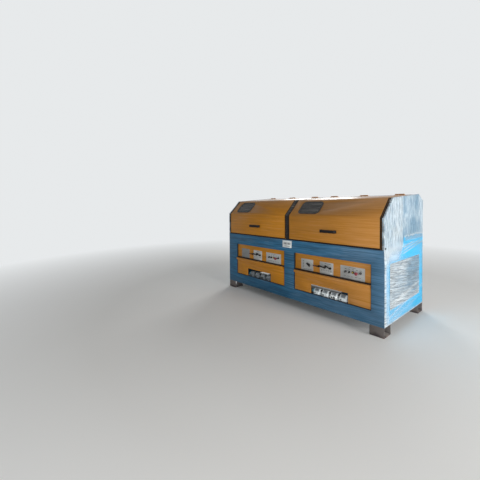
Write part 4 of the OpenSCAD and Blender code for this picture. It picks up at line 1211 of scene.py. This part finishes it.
class CABINET_OT_air_levers(bpy.types.Operator):
    """Put a black nut and a sleeve on each air lever, a brown sleeve on the first of each bay"""
    bl_idname = "cabinet.air_levers"
    bl_label = "Air lever nuts"

    def execute(self, context):
        boss, arm_out, grip_at = 0.015, 0.026, 0.03168
        nuts, sleeves, black_sleeves = [], [], []
        for boxes in by_side(solids("air_valves")).values():
            for i, (lo, hi) in enumerate(boxes):
                x, z = hi.x - boss, lo.z + boss
                front = lo.y + 0.0314 - arm_out
                nuts.append(on_front(x, front, z, 15 + 20 * i))
                turn = math.radians(LEVER_TURNS[i])
                along = Vector((math.cos(turn), 0, -math.sin(turn)))
                grip = Vector((x, front + arm_out - 0.024, z)) + along * grip_at
                (black_sleeves if i else sleeves).append(standing(grip, along))
        dress(repeat(bolt_head(0.0062, 0.005), nuts), "lever_nuts", "black")
        for name, places, finish in (("lever_sleeves", sleeves, "grip_brown"),
                                     ("lever_sleeves_black", black_sleeves, "black")):
            dress(repeat(disc(0.0092, 0.043, 20, 0.0022), places), name, finish)
        return {"FINISHED"}


class CABINET_OT_water_valves(bpy.types.Operator):
    """Give the water valves their cap labels, ports, knobs, screws and unions"""
    bl_idname = "cabinet.water_valves"
    bl_label = "Water valve parts"

    def execute(self, context):
        pitch = context.scene.cabinet_sizes.valve_pitch
        labels, bars, ports, knobs, screws, unions = [], [], [], [], [], []
        wide, high, deep = 0.098, 0.078, 0.064
        foot, top_y = high * 0.52, deep * 0.45
        tilt = Matrix.Rotation(math.atan2(high - foot, top_y), 4, "X")
        for lo, hi in solids("water_valves"):
            middle_x = (lo.x + hi.x) / 2
            front, seat = lo.y + 0.015, hi.z - high
            row_left = middle_x - 1.5 * pitch - wide / 2
            unions.append(standing((row_left + 0.001, front + 0.036, seat + 0.037), LEFT))
            for i in range(VALVES_A_BAY):
                x = middle_x + (i - 1.5) * pitch
                cap = Matrix.Translation((x, front + top_y / 2, seat + (foot + high) / 2)) @ tilt
                labels.append(cap @ Matrix.Translation((0, 0, 0.004)))
                for y, bar_l, bar_w in ((0.008, 0.036, 0.004), (-0.004, 0.024, 0.003)):
                    size = Matrix.Diagonal((bar_l, bar_w, 1, 1))
                    bars.append(cap @ Matrix.Translation((0, y, 0.0052)) @ size)
                ports.append(on_front(x - wide * 0.22, front - 0.008, seat + high * 0.24))
                screws += [standing((x + s * wide * 0.42, front + deep * 0.6, hi.z)) for s in (-1, 1)]
                if i:
                    knobs.append(standing((x - pitch / 2, front + deep * 0.35, seat + high * 0.3)))
        label = block((-0.032, -0.02, 0), (0.032, 0.02, 0.001), 0.0004, 1)
        dress(repeat(label, labels), "valve_labels", "valve_label")
        dress(repeat(patch(0, 0.0004), bars), "valve_marks", "ink", shade=0)
        dress(repeat(self.port(), ports), "valve_ports", "black")
        dress(repeat(self.knob(), knobs), "valve_knobs", "black")
        dress(repeat(screw_head(0.0036, 0.0022), screws), "valve_screws", "zinc")
        dress(repeat(bolt_head(0.027, 0.026), unions), "inlet_unions", "union")
        return {"FINISHED"}

    def port(self):
        """Dark plug with a hollow, in the port of a valve."""
        disc(0.0095, 0.003, 20, 0.0006)
        return hollow(0, 0.003, 0.004)

    def knob(self):
        """Fluted knob on a stem that rises between two valves."""
        stem = disc(0.005, 0.03, 12)
        grip = disc(0.0125, 0.018, 20, 0.002)
        edit()
        pick("FACE", lambda f: abs(f.normal.z) < 0.1 and round(
            math.degrees(math.atan2(f.normal.y, f.normal.x))) % 36 < 18)
        bpy.ops.mesh.inset(thickness=0.0006, depth=-0.0014, use_individual=True)
        leave()
        grip.location.z = 0.028
        stem.location.z = -0.006
        join([stem, grip])
        return settle()


class CABINET_OT_number_tag(bpy.types.Operator):
    """Print plain bars on the tag and rivet it"""
    bl_idname = "cabinet.number_tag"
    bl_label = "Number tag"

    def execute(self, context):
        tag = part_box("number_tag")
        lo, hi = tag
        wide, high = hi.x - lo.x, hi.z - lo.z
        bars = [on_front(lo.x + wide * (0.18 + 0.16 * i), lo.y, lo.z + high * 0.57,
                         size=(wide * 0.085, high * 0.3, 1)) for i in range(5)]
        bars.append(on_front(mid(tag).x, lo.y, lo.z + high * 0.2, size=(wide * 0.6, high * 0.05, 1)))
        dress(repeat(patch(-0.0003, 0.0004), bars), "tag_bars", "ink", shade=0)
        rivets = [on_front(x, lo.y, z) for x, z in inner_corners(tag, 0.008, 0.008, 0.008)]
        dress(repeat(disc(0.003, 0.0016, 14, 0.0007), rivets), "tag_rivets", "zinc")
        return {"FINISHED"}


class CABINET_OT_cover_seals(bpy.types.Operator):
    """Lay dark strips over each access cover and round each bay: painted shade for the shadow gaps there"""
    bl_idname = "cabinet.cover_seals"
    bl_label = "Cover seals"

    def execute(self, context):
        gap, thick, reach, free = 0.003, 0.019, 0.0195, 0.0002
        left_w, right_w, low_h, skin, proud = 0.009, 0.004, 0.008, 0.0005, 0.0008
        strips = []
        for side in SIDES:
            panel_lo, panel_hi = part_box("control_panel_" + side)
            lo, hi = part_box("access_cover_" + side)
            # Painted shade: a dark strip on top of each cover, under its control panel, and thin ones beside
            # and under each bay.
            strips.append(block((lo.x, panel_lo.y - reach, hi.z), (hi.x, panel_lo.y - skin, hi.z + thick),
                                0.0012))
            left, right, low, high = lo.x - gap, hi.x + gap, lo.z - gap, panel_hi.z + gap
            for x0, x1, z0, z1 in ((left - left_w, left - free, low, high),
                                   (right + free, right + right_w, low, high),
                                   (left - left_w, right + right_w, low - low_h, low - free)):
                strips.append(block((x0, FRONT_Y - proud, z0), (x1, FRONT_Y + skin, z1), 0.0006))
        dress(join(strips), "cover_seals", "seal")
        return {"FINISHED"}


class CABINET_OT_panel_screws(bpy.types.Operator):
    """Screw down the front panels, the rear panels and the plugs of the end walls"""
    bl_idname = "cabinet.panel_screws"
    bl_label = "Panel screws"

    def execute(self, context):
        radius = context.scene.cabinet_sizes.screw_r
        cover_face = FRONT_Y + 0.004
        places = []
        for side in SIDES:
            panel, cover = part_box("control_panel_" + side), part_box("access_cover_" + side)
            places += [on_front(x, panel[0].y, z) for x, z in inner_corners(panel, 0.03, 0.05, 0.03)]
            places += [on_front(x, cover_face, z) for x, z in inner_corners(cover, 0.03, 0.03, 0.09)]
        for lo, hi in solids("rear_panels"):
            places += [standing((x, hi.y, z), BACK) for x in (lo.x + 0.035, mid((lo, hi)).x, hi.x - 0.035)
                       for z in (lo.z + 0.03, hi.z - 0.03)]
        dress(repeat(screw_head(radius, radius * 0.6), places), "panel_screws", "orange_long")
        plugs = [standing((s * END_X, FRONT_Y + 0.02, DECK_Z + 0.024), RIGHT * s) for s in (-1, 1)]
        dress(repeat(bolt_head(0.0105, 0.009), plugs), "end_plugs", "black")
        return {"FINISHED"}


# Axis of the hood hinges
HINGE_Y, HINGE_Z = 0.381388, 1.66107


class CABINET_OT_hinge_screws(bpy.types.Operator):
    """Screw the hinge leaves to the cowl and to the hoods"""
    bl_idname = "cabinet.hinge_screws"
    bl_label = "Hinge screws"

    def execute(self, context):
        inwards = 0.011
        fixed = [place for lo, hi in solids("hinge_blocks") for place in self.row(lo, hi, hi.y - inwards)]
        dress(repeat(screw_head(0.0048, 0.0018), fixed), "cowl_hinge_screws", "zinc")
        for side in SIDES:
            moving = [place for lo, hi in solids("hood_hinges_" + side)
                      for place in self.row(lo, hi, lo.y + inwards)]
            dress(repeat(screw_head(0.0048, 0.0018), moving), "hood_hinge_screws_" + side, "zinc",
                  side + "_hood")
        return {"FINISHED"}

    def row(self, lo, hi, y):
        """Three screws along a leaf, seated on its sloping face."""
        sunk = 0.005
        along = (y - HINGE_Y) / math.cos(ROOF_PITCH)
        z = HINGE_Z + along * math.sin(ROOF_PITCH) - sunk * math.cos(ROOF_PITCH)
        middle_x, reach = (lo.x + hi.x) / 2, (hi.x - lo.x) * 0.38
        up = Matrix.Rotation(ROOF_PITCH, 4, "X") @ UP
        return [standing((middle_x + s * reach, y, z), up) for s in (-1, 0, 1)]


class CABINET_OT_deck_bolts(bpy.types.Operator):
    """Bolt the die boxes and the tension arms to the deck"""
    bl_idname = "cabinet.deck_bolts"
    bl_label = "Deck bolts"

    def execute(self, context):
        radius = context.scene.cabinet_sizes.bolt_r
        places = []
        for lo, hi in solids("die_boxes"):
            middle_x, middle_y = lo.x + 0.15, (lo.y + hi.y) / 2
            places += [standing((middle_x + sx * 0.116, middle_y + sy * 0.037, DECK_Z + 0.01))
                       for sx in (-1, 1) for sy in (-1, 1)]
        for lo, hi in solids("tension_arms"):
            post = Vector((hi.x - 0.06, hi.y - 0.06, DECK_Z + 0.016))
            places += around(post, 0.046, 4, 45)
        dress(repeat(bolt_head(radius, radius * 0.9), places), "deck_bolts", "zinc")
        return {"FINISHED"}


class CABINET_OT_drum_caps(bpy.types.Operator):
    """Cap the hub of each drum and bolt the cap down"""
    bl_idname = "cabinet.drum_caps"
    bl_label = "Drum caps"

    def execute(self, context):
        cap_h = 0.014
        for side in SIDES:
            hub = mid(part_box("drum_" + side))
            hub.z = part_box("drum_" + side)[1].z - 0.006
            disc(0.078, cap_h, 48, 0.003)
            edit()
            pick_top(0.013)
            inset(0.036)
            extrude(0, 0, 0.012)
            inset(0.006, 0.003)
            cap = leave()
            cap.matrix_world = Matrix.Translation(hub)
            close()
            dress(cap, "drum_cap_" + side, "zinc")
            places = around(hub + cap_h * UP, 0.06, 6, 30)
            dress(repeat(bolt_head(0.0085, 0.008), places), "drum_bolts_" + side, "zinc")
        return {"FINISHED"}


GEARBOX_RIM_Z = DECK_Z - 0.165


class CABINET_OT_drive_parts(bpy.types.Operator):
    """Give the motors grilles, eyes and bolts, and the gearboxes their flange bolts"""
    bl_idname = "cabinet.drive_parts"
    bl_label = "Drive parts"

    def execute(self, context):
        motor_r, axis_y, axis_z, feet_z = 0.132, 0.303, 0.46, 0.298
        grilles, eyes, bolts, screws, rim_bolts = [], [], [], [], []
        for lo, hi in solids("motors"):
            x = hi.x - 0.29
            grilles.append(standing((hi.x, axis_y, axis_z), RIGHT))
            eyes.append(standing((x + 0.13, axis_y, axis_z + motor_r)))
            bolts += [standing((x + dx, axis_y + dy, feet_z))
                      for dx in (-0.114, 0.114) for dy in (-0.13, 0.13)]
            screws += [standing((x + dx, axis_y + dy, hi.z))
                       for dx in (-0.03, 0.08) for dy in (-0.05, 0.05)]
        for side in SIDES:
            centre = mid(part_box("drum_" + side))
            rim_bolts += [standing((centre.x - 0.15 + 0.1 * i, centre.y + s * 0.197, GEARBOX_RIM_Z))
                          for i in range(4) for s in (-1, 1)]
        radius = context.scene.cabinet_sizes.bolt_r
        dress(repeat(self.grille(), grilles), "fan_grilles", "black")
        dress(repeat(self.eye(), eyes), "lifting_eyes", "zinc")
        dress(repeat(bolt_head(radius, radius * 0.9), bolts), "drive_bolts", "zinc")
        dress(repeat(bolt_head(0.0055, 0.006), rim_bolts), "gearbox_bolts", "zinc")
        dress(repeat(screw_head(0.0045, 0.0026), screws), "terminal_screws", "zinc")
        return {"FINISHED"}

    def grille(self):
        """Round guard of bars and rings over the fan."""
        parts = [ring(radius, 0.0018, 40, 6, 0.0015) for radius in (0.03, 0.05, 0.07, 0.09, 0.106)]
        for i in range(4):
            bar = block((-0.106, -0.0022, -0.001), (0.106, 0.0022, 0.0024), 0.0006, 1)
            bar.rotation_euler.z = math.radians(45 * i)
            parts.append(close())
        parts.append(disc(0.016, 0.004, 20, 0.001))
        return join(parts)

    def eye(self):
        """Lifting eye on its collar."""
        collar = disc(0.014, 0.006, 20, 0.0015)
        return join([collar, ring(0.014, 0.0042, 24, 10, 0.022, rotation=(math.radians(90), 0, 0))])


class CABINET_OT_welds(bpy.types.Operator):
    """Lay weld beads where the feet meet the base"""
    bl_idname = "cabinet.welds"
    bl_label = "Weld beads"

    def execute(self, context):
        runs = []
        for lo, hi in solids("skid_feet"):
            inner_y = hi.y if hi.y < 0 else lo.y
            start, end = (Vector((x, inner_y, hi.z)) for x in (lo.x + 0.01, hi.x - 0.01))
            runs.append(self.bead(start, end))
        dress(join(runs), "foot_welds", "primer")
        return {"FINISHED"}

    def bead(self, start, end):
        """A rippled run of weld between two points."""
        length, radius, ripples = (end - start).length, 0.0032, 26
        begin()
        bpy.ops.mesh.primitive_cylinder_add(vertices=10, radius=radius, depth=length,
                                            location=(0, 0, length / 2))
        edit()
        pick("EDGE", lambda e: abs(e.verts[0].co.z - e.verts[1].co.z) > length * 0.5)
        bpy.ops.mesh.subdivide(number_cuts=ripples * 2 - 1)
        piece = bpy.context.object
        mesh = bmesh.from_edit_mesh(piece.data)
        for vertex in mesh.verts:
            along = (vertex.co.z + length / 2) / length
            swell = 1 + 0.16 * math.cos(2 * math.pi * ripples * along)
            vertex.co.x *= swell
            vertex.co.y *= swell
        bmesh.update_edit_mesh(piece.data)
        close()
        piece.matrix_world = standing(start, end - start)
        return close()


def wall_top(y):
    """Height of the end wall's outline at y, and the slope of the outline there."""
    if y <= SLOPE_END_Y:
        slope = SLOPE_RISE / SLOPE_RUN
        return SLOPE_LOW_Z + (y - FRONT_Y) * slope, slope
    if y <= ROOF_END_Y:
        return SLOPE_LOW_Z + SLOPE_RISE + (y - SLOPE_END_Y) * ROOF_SLOPE, ROOF_SLOPE
    slope = -EAVE_DROP / CHAMFER_RUN
    return ROOF_Z + (y - ROOF_END_Y) * slope, slope


def ease(value, low, high):
    """Smooth step from nought at low to one at high."""
    share = min(max((value - low) / (high - low), 0), 1)
    return share * share * (3 - 2 * share)


def band(away, reach):
    """One on a line, easing to nought at a reach from it."""
    return 1 - ease(abs(away), 0.0, reach)


def ripple(a, b, c):
    """Smooth noise of three values, about nought."""
    return noise.noise(Vector((a, b, c)))


# Film over the ends: the upper sheet's hem, the lower sheet's top and the end opening
FILM_WRAP = 0.026
HEM_FRONT_Z, HEM_REAR_Z = 0.845, 1.115
LOWER_TOP_Z = 1.135
OPENING_Y, OPENING_Z = (-0.472, 0.518), (0.29, 0.825)
FRAME_LINES_Z = (0.915, 0.952, 0.99)
# Heights of the crease lines of painted shade across the end opening
OPENING_LINES_Z = (0.36, 0.41, 0.445, 0.49, 0.54, 0.575, 0.62, 0.66, 0.7, 0.75, 0.79)


class CABINET_OT_film(bpy.types.Operator):
    """Stretch loose packing film over the end walls and the end openings"""
    bl_idname = "cabinet.film"
    bl_label = "Packing film"

    def execute(self, context):
        self.sizes = context.scene.cabinet_sizes
        for count, side in enumerate(SIDES):
            seed = 7.3 * count
            self.sheet("film_upper", side, seed, self.upper, (150, 92), "end_wall_" + side)
            lower = self.sheet("film_lower", side, 3.1 + seed, self.lower, (180, 170), "end_face_plates")
            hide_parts("end_films")
        return {"FINISHED"}

    def upper(self, s, t, seed):
        """Place, fold, veil and shade of the sheet over the end wall, for shares across and up."""
        flat_y = FRONT_Y - FILM_WRAP + s * (REAR_Y - FRONT_Y + 2 * FILM_WRAP)
        y = min(max(flat_y, FRONT_Y), REAR_Y)
        top, pitch = wall_top(y)
        rear = ease(y, -0.16, -0.03)
        front = 1 - rear
        ragged = 0.02 * ripple(y * 14, seed, 1.7) + 0.012 * ripple(y * 41, seed, 4.1)
        hem = HEM_FRONT_Z + (HEM_REAR_Z - HEM_FRONT_Z) * rear + ragged
        flat_z = hem + t * (top + FILM_WRAP - hem)
        over = max(abs(flat_y - y), (flat_z - top) * math.cos(math.atan(pitch)), 0)
        z = min(flat_z, top)
        folds = abs(ripple(y * 11 + 0.8 * z, z * 1.7, seed)) + 0.35 * abs(ripple(y * 30, z * 3.2, seed + 5))
        free = 0 if over else ease(min(y - FRONT_Y, REAR_Y - y, top - z), 0.0, 0.05)
        bunched = 1 - ease(t, 0.0, 0.05)
        cloud = ripple(y * 5, z * 4, seed + 9)
        fading = front * (1 - ease(flat_z, 0.86, 1.14))
        turned = ease(over, 0.0, 0.004)
        veil = 0.84 + 0.1 * front + 0.14 * cloud - fading * (0.25 + 0.62 * ease(y, FRONT_Y, -0.3))
        veil += 0.3 * bunched * rear + 0.5 * turned
        veil *= 1 - ease(FRONT_Y - flat_y, 0.0, 0.002) * (1 - ease(z, DECK_Z, DECK_Z + 0.03))
        veil *= 1 - front * (1 - ease(flat_z, hem + 0.005, hem + 0.09))
        seam = ease(y, -0.09, -0.07)
        dim = ease(y, -0.07, -0.04) * (1 - ease(y, 0.1, 0.3)) * ease(z, 1.38, 1.42)
        shade = 0.1 + 0.2 * cloud + seam * (0.42 + 0.8 * cloud + 0.45 * dim) - 0.5 * bunched - turned
        return y, z, flat_y - y, over, folds * free, veil, shade, (flat_y, flat_z)

    def lower(self, s, t, seed):
        """Place, fold, veil and shade of the sheet over the end opening, for shares across and up."""
        y = FRONT_Y + 0.002 + s * (REAR_Y - FRONT_Y - 0.02)
        z = FOOT_Z + 0.002 + t * (LOWER_TOP_Z - FOOT_Z)
        folds = 0.9 * abs(ripple(y * 1.9, z * 12 + y * 1.3, seed))
        folds += 0.4 * abs(ripple(y * 3.4, z * 34 + y * 3.7, seed + 3))
        inside = min(y - OPENING_Y[0], OPENING_Y[1] - y, z - OPENING_Z[0], OPENING_Z[1] - z)
        opening = ease(inside, -0.012, 0.012)
        cloud = ripple(y * 3.4, z * 7, seed + 6)
        # Painted shadow: a darker, bluer band just under the upper sheet's hem.
        hem_shadow = ease(z, 1.045, 1.07) * ease(y, -0.04, 0.03)
        frame_veil = self.frame_veil(y, z, cloud) + 0.42 * hem_shadow
        frame_veil += 0.55 * max(1 - ease(y, FRONT_Y + 0.026, FRONT_Y + 0.04),
                                 1 - ease(z, FOOT_Z + 0.01, FOOT_Z + 0.02))
        veil = frame_veil + opening * (0.92 + 0.1 * cloud - frame_veil)
        # Painted shade: the film over the opening is darker where the inside behind it lies in shade,
        # towards the rear and upwards, and along its crease lines; a band low down is paler.
        lines = max(band(z - start + 0.11 * y - 0.006 * ripple(y * 9, start * 50, seed), 0.007)
                    for start in OPENING_LINES_Z)
        depth = 0.2 + 0.75 * ease(y, -0.1, 0.2) * ease(z, 0.3, 0.5) + 0.4 * cloud
        depth += 0.35 * lines - 0.6 * band(z - 0.345 - 0.12 * (y + 0.4), 0.04)
        return y, z, 0, 0, folds * opening, veil, 0.8 * hem_shadow + opening * depth, (y, z)

    def frame_veil(self, y, z, cloud):
        """How much of the lower sheet shows on the posts and rails beside the opening."""
        post = 1 - ease(y, -0.53, -0.49)
        veil = 0.16 + 0.14 * cloud + 0.36 * post - 0.14 * ease(y, 0.1, 0.5)
        veil += 0.16 * band(z - 0.2 - 0.1 * y, 0.05) + 0.22 * band(z - 0.285 - 0.16 * y, 0.035)
        veil += 0.42 * (1 - ease(y, -0.32, -0.08)) * ease(z, 0.8, 0.9)
        lines = max(band(z - start - 0.14 * y, 0.008) for start in FRAME_LINES_Z)
        veil += 0.75 * lines * ease(y, -0.1, 0.0)
        return veil * (1 - 0.6 * band(y + 0.54, 0.012)) * (1 - ease(z, 1.02, 1.04))

    def sheet(self, stem, side, seed, shape, cells, rests_on):
        """Lay a grid over the end and move its points to the sheet's places."""
        stand, crease = self.sizes.film_stand, self.sizes.film_crease
        sign = 1 if side == "right" else -1
        begin()
        bpy.ops.mesh.primitive_grid_add(x_subdivisions=cells[0], y_subdivisions=cells[1], size=1)
        piece = edit()
        mesh = bmesh.from_edit_mesh(piece.data)
        layers = [mesh.verts.layers.float.new(name) for name in ("veil", "shade")]
        for vertex in mesh.verts:
            y, z, aside, over, rise, veil, shade, place = shape(vertex.co.x + 0.5, vertex.co.y + 0.5, seed)
            lift = stand if over else 0
            if aside:
                y += math.copysign(lift, aside)
            else:
                z += lift
            vertex.co = Vector((sign * (END_X + stand + crease * rise - over), y, z))
            for layer, value in zip(layers, (veil, shade)):
                vertex[layer] = min(max(value, 0.0), 1.0)
        bmesh.update_edit_mesh(piece.data)
        pick_all()
        if sign < 0:
            bpy.ops.mesh.flip_normals()
        leave()
        dress(piece, stem + "_" + side, stem, "cabinet", 80)
        return piece

    def cell_area(self, corners):
        """Area of a flat cell, from its corners in order."""
        return 0.5 * abs(sum(a[0] * b[1] - b[0] * a[1] for a, b in zip(corners, corners[1:] + corners[:1])))


BACKDROP = (0.8, 0.82, 0.83)
# Size, place and target of each square lamp
LAMPS = {
    "key": (3.5, (8.0, -0.6, 1.7), (0.4, 0, 0.9)),
    "fill": (3.0, (4.2, -6.2, 1.2), (0.3, -0.6, 0.8)),
    "back": (3.0, (-4.5, 6.5, 6.0), (0, 0, 0.9)),
}


class CABINET_OT_stage(bpy.types.Operator):
    """Set the floor, the lamps and the camera"""
    bl_idname = "cabinet.stage"
    bl_label = "Stage"

    def execute(self, context):
        stage = context.scene.cabinet_stage
        self.floor(stage.floor_grey)
        self.sky(stage.sky)
        for name, (size, place, target) in LAMPS.items():
            self.lamp(name, getattr(stage, name), size, Vector(place), Vector(target))
        self.camera(stage)
        context.scene.view_settings.view_transform = "Standard"
        return {"FINISHED"}

    def floor(self, grey):
        """A wide level floor of plain pale tone, which fades into the backdrop."""
        begin()
        bpy.ops.mesh.primitive_plane_add(size=80, location=(0, 0, 0))
        floor = close()
        floor.name = "floor"
        n = Finish("floor", Roughness=0.6, Specular_IOR_Level=0.2)
        place = n.place()
        dim, bright = (tuple(grey * c for c in tone) for tone in ((0.96, 0.95, 0.92), (1.0, 0.99, 0.96)))
        n.set(Base_Color=n.mix(n.noise(place, 0.6, 3.0), dim, bright))
        away = n.add("VectorMath", {0: place}, operation="LENGTH").outputs["Value"]
        far = n.times(n.stretch(away, 3.2, 8.0), self.seen_rays(n))
        pale = n.add("Emission", {"Color": BACKDROP, "Strength": 1.0})
        blend = n.add("MixShader", {0: far, 1: n.shader.outputs[0], 2: pale.outputs[0]})
        n.feed(n.end.inputs["Surface"], blend.outputs[0])
        floor.data.materials.append(n.material)

    def sky(self, strength):
        """Even light from all round, which the camera sees as the pale backdrop."""
        world = bpy.data.worlds.new("studio")
        world.use_nodes = True
        n = Nodes(world.node_tree)
        n.tree.nodes.clear()
        light = n.add("Background", {"Color": (0.95, 0.98, 1.0), "Strength": strength})
        seen = n.add("Background", {"Color": BACKDROP, "Strength": 1.0})
        mixed = n.add("MixShader", {0: self.seen_rays(n), 1: light.outputs[0], 2: seen.outputs[0]})
        n.add("OutputWorld", {"Surface": mixed.outputs[0]})
        bpy.context.scene.world = world

    def seen_rays(self, n):
        """One for rays from the camera, from gloss and through glass."""
        path = n.add("LightPath").outputs
        return n.maths("MAXIMUM", path["Is Camera Ray"],
                       n.maths("MAXIMUM", path["Is Glossy Ray"], path["Is Transmission Ray"]))

    def lamp(self, name, power, size, place, target):
        """A square lamp that faces a target."""
        begin()
        bpy.ops.object.light_add(type="AREA", location=place)
        lamp = bpy.context.object
        lamp.name = name
        lamp.data.size = size
        lamp.data.energy = power
        lamp.rotation_euler = (target - place).to_track_quat("-Z", "Y").to_euler()

    def camera(self, stage):
        """The camera stands where the photograph was taken from."""
        yaw, pitch, roll = stage.camera_yaw, stage.camera_pitch, stage.camera_roll
        ahead = Vector((math.sin(yaw) * math.cos(pitch), math.cos(yaw) * math.cos(pitch), math.sin(pitch)))
        right = Vector((math.cos(yaw), -math.sin(yaw), 0))
        up = right.cross(ahead)
        across = right * math.cos(roll) + up * math.sin(roll)
        above = up * math.cos(roll) - right * math.sin(roll)
        turn = Matrix((across, above, -ahead)).transposed().to_4x4()
        begin()
        bpy.ops.object.camera_add()
        camera = bpy.context.object
        camera.name = "camera"
        camera.matrix_world = Matrix.Translation(stage.camera_place) @ turn
        camera.data.sensor_width = 36
        camera.data.lens = stage.camera_lens
        camera.data.shift_x = stage.shift_x
        camera.data.shift_y = stage.shift_y
        camera.data.clip_end = 200
        bpy.context.scene.camera = camera


class CABINET_PT_panel(bpy.types.Panel):
    """Steps that dress the cabinet, in their order"""
    bl_idname = "CABINET_PT_panel"
    bl_label = "Wire drawing cabinet"
    bl_space_type = "VIEW_3D"
    bl_region_type = "UI"
    bl_category = "Cabinet"

    def draw(self, context):
        for step in STEPS:
            self.layout.operator(step.bl_idname)


STEPS = (CABINET_OT_finishes, CABINET_OT_soft_edges, CABINET_OT_trim_strips, CABINET_OT_hood_edging,
         CABINET_OT_windows, CABINET_OT_switch_plates, CABINET_OT_air_levers, CABINET_OT_water_valves,
         CABINET_OT_number_tag, CABINET_OT_cover_seals, CABINET_OT_panel_screws,
         CABINET_OT_hinge_screws, CABINET_OT_deck_bolts, CABINET_OT_drum_caps, CABINET_OT_drive_parts,
         CABINET_OT_welds, CABINET_OT_film, CABINET_OT_stage)
CLASSES = (CabinetColours, CabinetSizes, CabinetStage) + STEPS + (CABINET_PT_panel,)


def register():
    for item in CLASSES:
        bpy.utils.register_class(item)
    bpy.types.Scene.cabinet_colours = bpy.props.PointerProperty(type=CabinetColours)
    bpy.types.Scene.cabinet_sizes = bpy.props.PointerProperty(type=CabinetSizes)
    bpy.types.Scene.cabinet_stage = bpy.props.PointerProperty(type=CabinetStage)


def unregister():
    del bpy.types.Scene.cabinet_stage
    del bpy.types.Scene.cabinet_sizes
    del bpy.types.Scene.cabinet_colours
    for item in reversed(CLASSES):
        bpy.utils.unregister_class(item)


def main():
    register()
    for step in STEPS:
        family, name = step.bl_idname.split(".")
        getattr(getattr(bpy.ops, family), name)()


if __name__ == "__main__":
    main()
